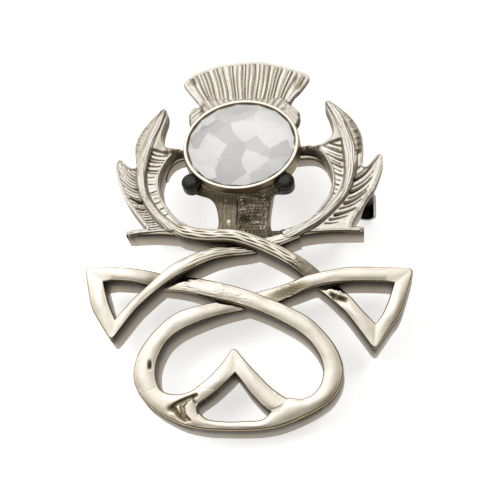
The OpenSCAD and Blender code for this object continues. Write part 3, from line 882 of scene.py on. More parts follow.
# %% Fold and joint at the loop's foot
FOLD = [
    (-13.6, -20.3), (-13.9, -20.85), (-13.7, -21.5), (-12.4, -23.0), (-10.6, -24.3),
    (-8.8, -25.27), (-7.2, -25.93), (-5.85, -26.28), (-5.0, -26.25), (-4.55, -25.7),
    (-4.5, -25.1), (-4.8, -24.6), (-5.1, -24.0), (-5.15, -23.4), (-4.85, -22.95),
    (-3.5, -21.95), (-2.55, -21.12), (-2.45, -20.75), (-3.2, -20.2), (-4.3, -19.85),
    (-5.2, -20.25), (-5.9, -20.85), (-7.05, -21.37), (-8.21, -21.54), (-9.6, -21.36),
    (-10.4, -20.95), (-10.8, -20.5), (-11.4, -20.05), (-12.5, -20.0),
]
JOIN = [
    (13.0, -21.8), (13.15, -22.3), (12.85, -22.74), (11.0, -24.0), (8.6, -25.2), (6.2, -26.08),
    (5.0, -26.25), (4.6, -25.7), (4.55, -25.0), (4.8, -24.5), (4.85, -24.05), (3.95, -23.43),
    (3.65, -22.95), (4.1, -22.1), (5.0, -21.15), (5.7, -21.12), (6.3, -21.6), (7.4, -22.15),
    (8.4, -22.3), (9.4, -22.15), (10.45, -21.72), (11.0, -21.5), (12.1, -21.5),
]
# Creases of the fold, each with its points, half width, depth and darkening, which is tarnish with painted
# shade.
CREASES = [
    ([(-5.5, -21.8), (-6.98, -22.4), (-8.0, -22.95), (-8.5, -23.4), (-8.15, -24.1), (-7.5, -24.85),
      (-6.8, -25.3)], 0.24, 0.3, 0.75),
    ([(-6.3, -22.45), (-7.1, -22.7), (-7.5, -23.0), (-7.4, -23.75), (-7.15, -24.55), (-6.4, -25.25)],
     0.15, 0.18, 0.6),
    ([(-6.7, -22.95), (-7.05, -23.4), (-6.95, -24.0), (-6.8, -24.6), (-6.1, -25.4)], 0.13, 0.15, 0.5),
    ([(-5.85, -21.95), (-5.8, -22.45), (-5.1, -23.35)], 0.13, 0.14, 0.45),
]
# A shallow pit beside the creases: x, y, its two radii and its depth.
FOLD_PIT = (-8.8, -23.75, 0.5, 0.45, 0.28)
# Seams with the bars: x, y, radius.
FOLD_SEAMS = [(-12.5, -19.9, 0.9), (-4.5, -25.3, 0.6), (-3.4, -20.1, 0.5)]
JOIN_SEAMS = [(12.0, -21.4, 0.8), (4.6, -25.4, 0.6), (4.2, -22.3, 0.6)]


def crown_surface(creases, pits, seams):
    """Crown height with a round shoulder, lowered by creases and pits; it sinks under a bar at a seam."""
    def surface(flat, gap):
        at_seam = np.zeros(len(flat))
        for sx, sy, radius in seams:
            beyond = np.hypot(flat[:, 0] - sx, flat[:, 1] - sy) - radius
            at_seam = np.maximum(at_seam, 1 - ease(beyond / 0.3))
        sink = 0.1 * at_seam * (1 - np.clip(gap / 1.3, 0, 1))
        gap = gap + at_seam * SHOULDER
        shoulder = np.minimum(gap, SHOULDER)
        share = np.clip((gap - SHOULDER) / 2.0, 0, 0.5)
        height = CAST_T - SHOULDER + np.sqrt(SHOULDER ** 2 - (SHOULDER - shoulder) ** 2)
        height = height + 0.12 * 4 * share * (1 - share) + 0.015 - sink
        # Creases and the pit get tarnish with painted shade.
        hollow = np.zeros(len(flat))
        for path, half, depth, darkening in creases:
            far, _, _ = nearest_on(smooth_rows(path, 6), flat, False)
            crease = np.exp(-(far / half) ** 2) * ease((gap - 0.1) / 0.5)
            height = height - depth * crease
            hollow = np.maximum(hollow, darkening * crease ** 1.5)
        for px, py, rx, ry, depth in pits:
            pit = np.exp(-((flat[:, 0] - px) / rx) ** 2 - ((flat[:, 1] - py) / ry) ** 2)
            height = height - depth * pit
            hollow = np.maximum(hollow, 0.8 * pit ** 2)
        return height, hollow

    return surface


make_relief("bar_fold", FOLD, crown_surface(CREASES, [FOLD_PIT], FOLD_SEAMS), 0.12, bar_metal)
make_relief("bar_join", JOIN, crown_surface([], [], JOIN_SEAMS), 0.12, bar_metal)

# %% [markdown]
# A thistle leaf has a raised midrib, an inner blade toward the head and a
# notched outer blade. Both leaves are drawn as one outline each, from the
# stalk up round the tip and back. Extra points stand beside each sharp
# notch, because a smooth curve swings out where its points are far apart.

# %% Outlines and midribs of the leaves
LEFT_LEAF = [
    (-8.3, 4.8), (-9.9, 5.9), (-11.2, 7.4), (-12.1, 8.8), (-12.7, 10.2),
    (-13.1, 12.2), (-12.9, 13.8), (-12.6, 14.7), (-12.2, 15.6), (-11.8, 16.3),
    (-11.2, 17.0), (-10.4, 17.3), (-9.0, 17.3), (-9.0, 17.9), (-10.3, 18.3),
    (-12.0, 18.4), (-12.7, 18.8),
    (-13.1, 20.2), (-12.9, 21.9), (-12.6, 23.2), (-12.6, 24.4), (-13.0, 25.5),
    (-13.4, 25.8), (-14.0, 25.5), (-15.4, 23.7), (-16.4, 22.2), (-17.1, 20.6),
    (-17.5, 18.9), (-17.4, 17.4), (-17.1, 15.2), (-18.2, 15.3), (-19.5, 16.6),
    (-20.0, 16.8), (-20.4, 16.3), (-20.4, 15.1), (-19.9, 13.2), (-19.1, 11.0),
    (-18.2, 9.1), (-16.8, 7.2), (-15.1, 5.0), (-14.8, 4.2), (-17.4, 4.2),
    (-17.5, 3.6), (-17.1, 3.2), (-15.6, 3.4), (-12.5, 3.6), (-9.9, 3.5),
    (-9.4, 3.0), (-7.8, 3.0),
]
RIGHT_LEAF = [
    (5.7, 3.7), (6.9, 4.1), (8.4, 4.6), (9.8, 5.4), (11.0, 6.6),
    (12.0, 8.0), (12.9, 9.4), (13.3, 11.1), (13.3, 12.6), (13.0, 14.0),
    (12.6, 15.0), (12.1, 16.0), (11.4, 16.9), (10.6, 17.3), (9.2, 17.3),
    (7.6, 17.3), (7.6, 18.5), (8.5, 18.6), (10.1, 18.2), (11.4, 18.4), (12.8, 19.1), (13.4, 19.9),
    (13.4, 21.2), (13.0, 22.9), (12.4, 24.6), (12.3, 26.0), (12.8, 26.5),
    (13.5, 26.1), (14.9, 24.7), (16.3, 23.2), (17.3, 21.5), (18.0, 19.6),
    (18.2, 17.6), (18.0, 15.2), (18.2, 14.4), (18.7, 14.4), (19.4, 15.2),
    (20.3, 16.4), (20.8, 16.4), (21.1, 15.8), (21.0, 14.2), (20.4, 12.2),
    (19.7, 10.5), (18.7, 9.0), (17.7, 7.2), (16.8, 5.8), (16.3, 4.2),
    (17.6, 4.0), (17.8, 3.5), (17.4, 3.2), (14.4, 3.3), (11.7, 3.2),
    (9.6, 3.1), (8.4, 2.6), (6.7, 2.2),
]
# Midribs from the tip down, with the columns x, y, half width, share of the dip.
LEFT_MIDRIB = [
    (-13.3, 25.0, 0.3, 0.5),
    (-14.0, 22.4, 0.55, 0.2),
    (-15.0, 19.3, 0.7, 0),
    (-15.8, 16.2, 0.85, 0),
    (-16.0, 13.2, 0.75, 0),
    (-15.4, 10.3, 0.65, 0),
    (-14.0, 7.7, 0.6, 0),
    (-12.2, 5.6, 0.65, 0),
    (-10.4, 4.1, 0.8, 0),
]
RIGHT_MIDRIB = [
    (12.9, 25.7, 0.35, 0.5),
    (14.3, 22.8, 0.65, 0.2),
    (15.5, 19.6, 0.8, 0),
    (16.1, 16.4, 1.0, 0),
    (16.1, 13.2, 0.8, 0),
    (15.3, 10.0, 0.6, 0),
    (13.6, 7.5, 0.5, 0),
    (11.3, 5.3, 0.6, 0),
    (8.5, 3.5, 0.8, 0.1),
    (6.5, 2.6, 0.9, 0.4),
]
print("points round the leaves", len(LEFT_LEAF), len(RIGHT_LEAF))

# %% [markdown]
# The blades are cut with furrows that curve from the midrib toward the edge.
# A groove texture would be too even: on the real leaves the deep ones and
# the hairlines alternate, so each furrow has its own row. On the left leaf
# they follow a simple rhythm, so two short formulas give most of them.

# %% Furrows and knobs of the leaves
# Furrows, with the columns place along the midrib and distance from it at the
# deep end, the same at the fine end, half width, depth.
LEFT_OUTER_HOLES = [
    (14.2, 0.8, 13.9, 1.3, 0.2, 0.5),
    (16.4, 0.9, 15.3, 2.1, 0.28, 0.8),
    (17.6, 1.1, 16.8, 2.0, 0.16, 0.5),
]
RIGHT_OUTER_FURROWS = [
    (12.7, 0.9, 11.3, 2.6, 0.13, 0.25),
    (13.6, 1.0, 12.0, 3.3, 0.1, 0.2),
    (14.3, 0.9, 12.8, 3.3, 0.26, 0.65),
    (15.4, 1.0, 13.7, 3.5, 0.12, 0.28),
    (16.3, 0.9, 14.6, 3.3, 0.25, 0.6),
    (17.2, 1.1, 15.5, 3.2, 0.12, 0.28),
    (18.1, 1.1, 16.1, 3.0, 0.22, 0.5),
    (19.2, 1.0, 17.1, 2.9, 0.13, 0.28),
    (20.3, 1.2, 18.3, 2.8, 0.23, 0.6),
    (21.3, 1.2, 19.7, 2.6, 0.17, 0.45),
    (22.2, 1.2, 21.0, 2.4, 0.12, 0.3),
]
RIGHT_INNER_FURROWS = [
    (8.4, 1.1, 7.3, 3.6, 0.18, 0.36),
    (9.6, 1.2, 8.5, 3.6, 0.2, 0.4),
    (11.1, 1.25, 10.1, 3.4, 0.2, 0.4),
    (12.4, 1.25, 11.5, 3.3, 0.19, 0.36),
    (14.0, 1.1, 13.6, 3.0, 0.17, 0.32),
    (15.8, 1.2, 15.8, 2.6, 0.14, 0.3),
    (9.0, 1.5, 7.9, 3.6, 0.09, 0.18),
    (10.3, 1.4, 9.3, 3.5, 0.09, 0.2),
    (11.8, 1.4, 10.8, 3.3, 0.09, 0.2),
    (13.2, 1.3, 12.5, 3.1, 0.09, 0.2),
    (14.9, 1.2, 14.7, 2.8, 0.09, 0.2),
    (16.7, 1.1, 16.9, 2.3, 0.1, 0.2),
    (17.6, 1.0, 17.9, 2.1, 0.1, 0.2),
]
# Knobs on the blades, with the columns x, y, radius, height.
RIGHT_KNOBS = [
    (16.2, 22.3, 0.4, 0.2), (16.9, 20.4, 0.42, 0.3), (17.2, 19.1, 0.4, 0.3), (17.3, 18.0, 0.38, 0.25),
    (17.3, 16.9, 0.35, 0.15), (8.7, 17.85, 0.4, 0.5), (9.85, 17.95, 0.45, 0.55), (10.95, 17.75, 0.42, 0.45),
]
LEFT_KNOBS = [
    (-16.0, 21.4, 0.4, 0.15), (-16.6, 20.2, 0.4, 0.2), (-16.9, 19.0, 0.36, 0.2), (-16.9, 17.8, 0.36, 0.15),
    (-12.4, 17.7, 0.4, 0.25), (-11.45, 17.75, 0.42, 0.45), (-10.7, 17.9, 0.3, 0.3), (-9.9, 17.6, 0.36, 0.5),
]
BROAD_STROKES = 5


def left_inner_row(k):
    """Furrow k of the left leaf's inner blade: the first few are broad, the others fine."""
    width, depth = (0.15, 0.42) if k < BROAD_STROKES else (0.09, 0.14 + 0.1 * math.sin(2.6 * k))
    return (7.9 + 0.75 * k + 0.16 * math.sin(2.1 * k), 0.9 + 0.2 * math.sin(1.7 * k),
            8.6 + 0.75 * k, 3.5 - 0.03 * k, width, depth)


left_inner = [left_inner_row(k) for k in range(18)]
left_outer = [(10.2 + 0.5 * k, 1.0, 8.7 + 0.5 * k, 3.6, 0.12, 0.2 + 0.08 * math.sin(1.7 * k))
              for k in range(24)]
left_outer += LEFT_OUTER_HOLES
print("furrows", len(left_inner), len(left_outer), len(RIGHT_INNER_FURROWS), len(RIGHT_OUTER_FURROWS))

# %% [markdown]
# The height of a leaf is built up as a carver thinks of it. The midrib comes
# first, then a smooth facet that falls away from it low on the leaf, then
# the lobed blade further up, with its rolled edge, furrows and knobs.
# Furrows and the foot of the midrib are stored as hollow, for tarnish with painted shade, and the joint with
# the head gets painted shade.

# %% Surface of a leaf
def furrow(along, far, row):
    """Depth of one furrow, wide at its deep end and fine at the other."""
    a, b = np.array(row[0:2]), np.array(row[2:4])
    d = b - a
    v = np.stack([along + 0.16 * (far - row[1]) ** 2, far], 1) - a
    t = np.clip((v @ d) / (d @ d), 0, 1)
    off = np.linalg.norm(v - t[:, None] * d, axis=1)
    return 0.85 * row[5] * (1 - 0.5 * t) * np.exp(-(off / (0.78 * row[4] * (1 - 0.5 * t))) ** 2)


def near_knob(x, y, knob):
    """1 in the middle of a knob, falling to 0 round it."""
    return np.exp(-((x - knob[0]) ** 2 + (y - knob[1]) ** 2) / knob[2] ** 2)


def leaf_surface(midrib, inner_side, inner_rows, outer_rows, knobs, connector_x):
    """Height of a leaf: midrib, falling facet, lobed blade, furrows, knobs and rolled edge."""
    spine = smooth_rows(midrib, 10)
    length = np.concatenate([[0], np.cumsum(np.linalg.norm(np.diff(spine[:, :2], axis=0), axis=1))])

    def surface(flat, gap):
        x, y = flat[:, 0], flat[:, 1]
        far, along, side = nearest_on(spine[:, :2], flat, False)
        half = np.interp(along, length, spine[:, 2])
        top = CAST_T - DIP * np.interp(along, length, spine[:, 3])
        inner = side == inner_side
        depth = np.zeros(len(x))
        for on_side, rows in ((inner, inner_rows), (~inner, outer_rows)):
            for row in rows:
                depth = np.where(on_side, np.maximum(depth, furrow(along, far, row)), depth)
        depth = depth * ease((far - half + 0.1) / 0.2) * ease((gap - 0.4) / 0.3)

        # The facet beside the midrib, and the lobed blade that takes over further up.
        beyond = np.maximum(far - half, 0)
        facet = top - np.where(inner, 0.15, 0.3) - np.where(inner, 0.2, 0.26) * beyond
        blade = LEAF_T + np.where(inner, 0.55, 0.4) - np.where(inner, 0.09, 0.02) * beyond
        lobed = ease((along - np.where(inner, 6.9, 9.6)) / 0.6)
        rolled = 0.14 * np.exp(-((gap - 0.32) / 0.2) ** 2) * lobed
        lobe = facet + (blade - facet) * lobed + rolled

        # The midrib, with fine strands, then the furrows, the knobs and a soft edge.
        strands = 0.035 * np.cos(2 * math.pi * (far + 0.05 * np.sin(along * 1.3)) / 0.36)
        rib = top - 0.22 * (far / half) ** 4 + strands
        off_rib = ease((far - half + 0.25) / 0.6)
        height = rib + (lobe - rib) * off_rib - depth
        off_knobs = np.ones(len(x))
        for knob in knobs:
            height = height + knob[3] * near_knob(x, y, knob)
            off_knobs = off_knobs * (1 - 0.9 * near_knob(x, y, knob))
        height = height - 0.35 * (1 - ease(gap / 0.3)) ** 2

        # Tarnish with painted shade in the hollows: furrows, foot of the midrib, grain on the facet, and
        # painted shade at the joint with the head.
        hollow = np.clip(depth / 0.46 - 0.14, 0, 0.95)
        hollow = np.maximum(hollow, 0.2 * np.exp(-((far - half - 0.05) / 0.1) ** 2))
        grainy = 0.5 + 0.5 * np.sin(17 * x + 3 * np.sin(9 * y)) * np.sin(15 * y + 2 * np.sin(12 * x))
        bare = off_rib * (1 - lobed)
        hollow = np.maximum(hollow, bare * (0.12 + np.where(inner, 0.06, 0.3) * grainy))
        height = height + bare * np.where(inner, 0.0, 0.05) * grainy
        joint_shade = ease((connector_x - np.abs(x)) / 0.9) * ease((y - 16.6) / 0.5) * off_knobs
        return height, np.maximum(hollow, 0.7 * joint_shade)

    return surface


print("blades start from", LEAF_T, "mm and midribs from", CAST_T)

# %% [markdown]
# The lobes are thinner than the rest of a leaf, so their underside is
# raised. A cut with the bisect tool would do this too, but the outline
# already has a lower ring of points, and lifting those is enough.

# %% The two leaves
def leaf_back(edge):
    """The underside at the outline: raised under the lobes, whose edges are thin."""
    x, y = np.abs(edge[:, 0]), edge[:, 1]
    return 2.1 * np.maximum(ease((y - 18.6) / 1.0), ease((x - 17.2) / 1.2) * ease((y - 5.5) / 1.5))


make_relief("leaf_left", LEFT_LEAF,
            leaf_surface(LEFT_MIDRIB, 1, left_inner, left_outer, LEFT_KNOBS, 11.6), 0.1, underside=leaf_back)
make_relief("leaf_right", RIGHT_LEAF,
            leaf_surface(RIGHT_MIDRIB, -1, RIGHT_INNER_FURROWS, RIGHT_OUTER_FURROWS, RIGHT_KNOBS, 11.4), 0.1,
            underside=leaf_back)

# %% [markdown]
# The catch is soldered to the right leaf where its lobe is thin, so the
# casting has a small oval boss there, which reaches down to the flat back.
# A cylinder could be scaled and tapered to this shape. Four rings of points
# say the same: an oval foot with a softened edge, and a slightly wider top
# that ends inside the leaf.

# %% Boss for the catch
# Rings of the boss, with the columns height, share of its full size.
BOSS_RINGS = ((0.0, 0.92), (0.08, 1.0), (1.0, 1.04), (2.3, 1.2))
BOSS_HALF = (1.3, 0.85)
BOSS_SIDES = 36

angles = np.linspace(0, 2 * np.pi, BOSS_SIDES, endpoint=False)
oval = [(BOSS_HALF[0] * np.cos(a), BOSS_HALF[1] * np.sin(a)) for a in angles]
points = [(CATCH_FOOT[0] + share * x, CATCH_FOOT[1] + share * y, z)
          for z, share in BOSS_RINGS for x, y in oval]
last = len(BOSS_RINGS) - 1
faces = [tuple(reversed(range(BOSS_SIDES))), tuple(last * BOSS_SIDES + i for i in range(BOSS_SIDES))]
for r in range(last):
    low, high = r * BOSS_SIDES, (r + 1) * BOSS_SIDES
    faces += [(low + i, low + (i + 1) % BOSS_SIDES, high + (i + 1) % BOSS_SIDES, high + i)
              for i in range(BOSS_SIDES)]
make_piece("catch_boss", points, faces, relief_metal, np.full(len(points), 0.3))

# %% [markdown]
# Two plain stalk ends cross below the leaves, and a thin ledge runs round
# the top of each opening beside the head. They are swept like the knot's
# bars. All of them are lower than the bars, so each row has its own dip.

# %% Stalk ends and ledges
STALK_LEFT = [
    (-17.75, 3.5, -17.7, 4.1, 0.8),
    (-17.5, 3.25, -17.4, 4.35, 0.75),
    (-15.5, 3.3, -15.3, 4.5, 0.7),
    (-12.5, 3.3, -12.3, 4.7, 0.6),
    (-9.6, 3.0, -9.6, 4.8, 0.5),
]
STALK_RIGHT = [
    (18.05, 3.45, 18.05, 4.0, 0.8),
    (17.75, 3.2, 17.75, 4.25, 0.75),
    (14.6, 3.2, 14.6, 4.4, 0.7),
    (11.7, 3.1, 11.6, 4.5, 0.65),
    (9.0, 2.7, 8.6, 4.4, 0.65),
    (6.9, 2.0, 6.2, 3.6, 0.8),
]
LEDGE_LEFT = [
    (-8.9, 16.9, -8.9, 17.9, 1.7),
    (-10.2, 16.8, -10.5, 17.7, 1.75),
    (-11.1, 16.4, -11.6, 17.2, 1.8),
    (-11.8, 15.8, -12.5, 16.4, 2.0),
    (-12.3, 15.0, -13.1, 15.4, 2.3),
    (-12.6, 14.1, -13.5, 14.3, 2.7),
]
LEDGE_RIGHT = [
    (7.6, 16.4, 7.7, 17.7, 1.7),
    (8.8, 16.5, 8.9, 17.7, 1.75),
    (9.9, 16.55, 10.2, 17.6, 1.85),
    (10.9, 16.4, 11.4, 17.2, 2.05),
    (11.8, 15.95, 12.5, 16.6, 2.35),
    (12.5, 15.2, 13.2, 15.6, 2.7),
    (12.8, 14.6, 13.6, 14.8, 2.9),
]
make_bar("stalk_left", STALK_LEFT, dull_crown=0.35)
make_bar("stalk_right", STALK_RIGHT, dull_crown=0.75)
make_bar("ledge_left", LEDGE_LEFT)
make_bar("ledge_right", LEDGE_RIGHT)

# %% [markdown]
# Below the stone a short neck carries the calyx. It is lower than the bars,
# dull and darkened with painted shade, and has a seam down the middle, a
# deep pit and a few cross ridges on its right half, made bright with
# painted highlights. Toward the stone it rises to meet the rim. Its rough
# ground is a product of waves, which gives the same result each run.

# %% Neck
NECK = [
    (-8.2, 14.4), (-8.5, 13.4), (-8.5, 12.0), (-8.0, 11.0), (-7.0, 10.5), (-5.6, 10.0),
    (-4.7, 9.2), (-4.2, 8.0), (-3.9, 6.6), (-3.8, 5.2), (-3.9, 3.0),
    (3.9, 2.4), (3.9, 6.0), (4.0, 8.4), (4.3, 9.8), (4.9, 10.4),
    (6.2, 10.4), (6.9, 11.2), (7.0, 12.4), (6.6, 13.6), (5.0, 14.4), (0, 14.8), (-5.0, 14.8),
]
# Bumps and pits of the neck, with the columns x, y, half width, half length, rise.
NECK_BUMPS = [
    (1.1, 9.1, 1.6, 0.16, 0.3), (1.3, 8.3, 1.5, 0.13, 0.3), (1.6, 7.2, 1.2, 0.11, 0.25),
    (2.0, 5.4, 0.9, 0.16, 0.25), (-0.4, 8.9, 0.35, 0.3, 0.35), (-0.2, 7.5, 0.4, 0.32, 0.4),
    (-2.2, 5.6, 0.25, 0.3, 0.15), (-2.7, 8.9, 0.2, 0.2, 0.12), (2.9, 4.6, 0.5, 0.2, 0.25),
    (0.4, 6.1, 0.8, 0.6, -0.9), (0.9, 10.1, 1.8, 0.22, -0.4), (0.3, 8.6, 0.4, 0.12, -0.3),
    (1.8, 6.5, 1.0, 0.12, -0.25), (-0.95, 7.2, 0.07, 2.4, -0.3),
]
NECK_T = 3.0


def bevelled_back(solid_half, fade, high):
    """An underside that rises beyond a half width, so the side edges are thin."""
    return lambda edge: high * ease((np.abs(edge[:, 0]) - solid_half) / fade)


def neck_surface(flat, gap):
    """Height of the neck: streaks, rough right half, bumps, and a rise under the stone's rim."""
    x, y = flat[:, 0], flat[:, 1]
    streak = np.cos(x * 9 + 1.2 * np.sin(y * 1.1)) * (0.5 + 0.5 * np.sin(3.1 * y + 4 * x + np.sin(7 * x)))
    rough = np.sin(6.1 * x + 2.3 * np.sin(4.7 * y)) * np.sin(8.3 * y + 2 * np.sin(5.3 * x))
    from_rim = (np.hypot((x - STONE_AT[0]) / STONE_RX, (y - STONE_AT[1]) / STONE_RY) - 1.08) * STONE_RY
    right_half = ease((x + 0.9) / 0.3)
    height = NECK_T + 0.02 * streak + (0.04 + 0.1 * right_half) * rough
    height = height + 1.2 * (1 - ease(from_rim / 1.8)) * ease((from_rim + 0.8) / 0.6)
    # Painted shade over the whole neck, lighter on the right half, along a line near the right edge and
    # under the rim.
    hollow = 0.68 - 0.12 * right_half - 0.08 * streak + (0.06 + 0.34 * right_half) * rough
    hollow = hollow - 0.3 * np.exp(-((x - 3.3) / 0.25) ** 2) * ease((y - 3.5) / 1.5)
    hollow = hollow - 0.22 * np.exp(-(from_rim / 0.5) ** 2)
    for bx, by, half_wide, half_long, rise_by in NECK_BUMPS:
        bump = np.exp(-(np.abs((x - bx) / half_wide) ** 4 + ((y - by + 0.1 * (x - bx)) / half_long) ** 2))
        height = height + 0.7 * rise_by * bump
        # Raised bumps get painted highlights, sunken ones painted shade.
        hollow = hollow + (-1.5 if rise_by > 0 else 0.3) * bump
    height = height - 0.3 * (1 - ease(gap / 0.35)) ** 2
    return height, np.clip(hollow, 0, 0.95)


make_relief("neck", NECK, neck_surface, 0.1, underside=bevelled_back(4.05, 0.6, 2.3))

# %% [markdown]
# Beads run round the top of the stone, and a ringed lobe closes them at
# each side. Beads could be small copied spheres, but cast ones are low and
# run into each other, so a wave round the stone's centre makes them.

# %% Collar
COLLAR = [
    (-8.8, 21.6), (-9.2, 23.6), (-9.1, 24.6), (-8.5, 25.3), (-7.6, 25.6),
    (-7.2, 26.6), (-6.6, 27.0), (0, 27.0), (5.2, 27.0), (5.9, 26.9), (6.3, 26.3), (6.9, 25.5), (7.7, 24.8),
    (8.35, 23.95), (8.5, 23.0), (8.4, 22.1), (8.0, 21.4), (7.2, 21.0), (0, 21.0), (-8.0, 21.0),
]
BEADS = 64


def collar_surface(flat, gap):
    """Height of the collar: beads over the stone and a ringed lobe at each side."""
    x, y = flat[:, 0], flat[:, 1]
    angle = np.arctan2(y - STONE_AT[1], x - STONE_AT[0])
    beads = 0.5 + 0.5 * np.cos(angle * BEADS)
    side_lobe = ease((np.abs(x + 0.5) - 6.2) / 0.8)
    height = 3.95 + 0.12 * beads * (1 - side_lobe) + 0.35 * side_lobe
    ringed = np.cos(2 * math.pi * (np.hypot(x - STONE_AT[0], (y - STONE_AT[1]) * 1.15)) / 0.7)
    height = height + 0.05 * ringed * side_lobe - 0.35 * (1 - ease(gap / 0.5)) ** 2
    # Tarnish with painted shade between the beads and in the rings of the lobes.
    hollow = 0.08 + 0.35 * (1 - beads) * (1 - side_lobe) + 0.08 * (1 - ringed) / 2 * side_lobe
    return height, np.clip(hollow, 0, 0.9)


make_relief("collar", COLLAR, collar_surface, 0.16, underside=bevelled_back(6.2, 0.9, 3.3))

# %% [markdown]
# The tuft's strands fan out from the collar. Their widths and heights
# wander a little, because the pattern of a cast tuft is cut by hand. Each
# point is given a place across the fan and a place up it, found in a few
# rounds because the fan's ends are curved, and the strands follow those.

# %% Tuft
TUFT = [
    (-7.3, 25.4), (-7.9, 26.4), (-8.9, 27.75), (-9.9, 29.1), (-10.45, 30.3),
    (-9.1, 31.8), (-7.8, 32.4), (-6.4, 33.0), (-4.6, 33.6), (-2.6, 33.8),
    (-0.2, 34.0), (2.1, 33.9), (4.4, 33.3), (6.8, 32.5), (8.5, 31.8),
    (9.6, 31.1), (9.85, 30.4), (9.3, 29.3), (8.4, 28.0), (7.6, 27.1), (7.0, 26.3),
    (6.2, 25.8), (0, 25.4), (-6.5, 25.2),
]
# Dark patches on the tuft, with the columns x, y, and two radii.
TUFT_PATCHES = ((8.2, 29.6, 0.75, 1.2), (-8.9, 30.3, 0.6, 0.6))


def tuft_surface(flat, gap):
    """Height of the tuft: uneven strands inside a plain border, and two dark patches."""
    x, y = flat[:, 0], flat[:, 1]
    u = np.zeros(len(x))
    for _ in range(6):
        low_y = 26.9 - 0.5 * u * u - 0.2 * u
        high_y = 33.2 - 2.5 * u * u - 0.2 * u
        t = np.clip((y - low_y) / (high_y - low_y), -0.3, 1.3)
        u = (x + 0.2 + 0.1 * t) / (6.7 + 2.3 * t)
    strand = (u + 1) * TUFT_RIDGES / 2 + 0.22 * np.sin(9 * u + 1) + 0.16 * np.sin(23 * u)
    strand = strand + 0.1 * np.sin(5 * t + 7 * u)
    wave = 0.5 - 0.5 * np.cos(2 * math.pi * strand)
    fine = 0.5 + 0.5 * np.cos(2 * math.pi * strand * 2.7 + 4 * t)
    vary = 0.5 + 0.5 * np.sin(np.floor(strand) * 2.4 + 1.3 * t)
    field = ease((gap - 0.5) / 0.22) * ease((t + 0.1) / 0.15)
    height = TUFT_T + (0.08 + 0.1 * vary) * wave ** 0.5 * field + 0.02 * fine * field
    height = height + 0.05 * (1 - field) - 0.2 * (1 - ease(gap / 0.2)) ** 2
    # Tarnish with painted shade between the strands.
    hollow = (0.8 * (1 - wave) ** 6 * (0.3 + 0.7 * vary) + 0.03 * fine) * field + 0.1 * (1 - field)
    for px, py, rx, ry in TUFT_PATCHES:
        patch = np.exp(-(((x - px) / rx) ** 4 + ((y - py) / ry) ** 4))
        height = height - 0.12 * patch
        hollow = hollow + 0.55 * patch * (0.3 + 0.7 * fine)
    return height, np.clip(hollow, 0, 0.92)


make_relief("tuft", TUFT, tuft_surface, 0.08, underside=bevelled_back(5.6, 1.2, 3.0))

# %% [markdown]
# The oval stone sits in a cup: a thin bright rim round its edge, and a
# ledge that slopes down outside the rim into the calyx. The spin tool turns
# a profile on a circle, but an oval needs the profile carried at its own
# width, so the points are worked out. The cup's floor closes the inner end.

# %% Rim round the oval stone and two small cups
def around(centre, radii, turn, profile, sides):
    """A closed shell whose profile (outward, height) goes round an oval."""
    points, faces = [], []
    ct, st = math.cos(turn), math.sin(turn)
    for k in range(sides):
        a = 2 * math.pi * k / sides
        for out, high in profile:
            ex = (radii[0] + out) * math.cos(a)
            ey = (radii[1] + out) * math.sin(a)
            points.append((centre[0] + ex * ct - ey * st, centre[1] + ex * st + ey * ct, high))
    n = len(profile)
    for k in range(sides):
        for j in range(n - 1):
            a, b = k * n, ((k + 1) % sides) * n
            faces.append((a + j, b + j, b + j + 1, a + j + 1))
    faces.append(tuple(k * n for k in range(sides)))
    faces.append(tuple(k * n + n - 1 for k in range(sides)))
    return points, faces


def rim_profile(gap, wall, top, ledge, ledge_top, floor_z, under):
    """Underside, ledge, rounded rim and inside wall, from the back up and in to the floor."""
    turn = min(0.14, wall / 2.2)
    arc = [math.radians(90) * k / 5 for k in range(6)]
    crest = [(gap + wall - turn + turn * math.cos(a), top - turn + turn * math.sin(a)) for a in arc]
    crest += [(gap + turn - turn * math.sin(a), top - turn + turn * math.cos(a)) for a in arc]
    outside = under + [(gap + wall + ledge, ledge_top - 0.3),
                       (gap + wall + ledge * 0.4, ledge_top + 0.3), (gap + wall + 0.02, top - turn * 1.6)]
    return outside + crest + [(gap, floor_z)]


rim = rim_profile(SEAT_GAP, RIM_W, RIM_Z, 0.15, CAST_T - 0.7, 2.4, [(-0.9, 0), (0.8, 2.6)])
points, faces = around(STONE_AT, (STONE_RX, STONE_RY), STONE_TURN, rim, 160)
make_piece("stone_rim", points, faces, rim_metal, sharp=45)
small_rim = rim_profile(0.03, 0.12, CAST_T, 0.02, CAST_T - 0.9, CAST_T - 1.2, [(0.17, 2.8)])
for name, at in (("small_cup_left", SMALL_LEFT_AT), ("small_cup_right", SMALL_RIGHT_AT)):
    points, faces = around(at, (SMALL_R, SMALL_R), 0, small_rim, 64)
    make_piece(name, points, faces, relief_metal, np.full(len(points), 0.75), sharp=45)

# %% [markdown]
# A cut stone has a flat table on top, star facets beside it, kite facets
# and a row of small ones above the girdle, and a pointed back. A UV sphere
# has no such pattern, so the corners are placed in rings and joined facet
# by facet, as a cutter works round the stone.

# %% Facets of a cut stone
def ring_points(centre, radii, turn, share, high, sides, shift):
    """One ring of corners round an oval stone."""
    ct, st = math.cos(turn), math.sin(turn)
    ring = []
    for k in range(sides):
        a = 2 * math.pi * (k + shift) / sides
        ex, ey = radii[0] * share * math.cos(a), radii[1] * share * math.sin(a)
        ring.append((centre[0] + ex * ct - ey * st, centre[1] + ex * st + ey * ct, high))
    return ring


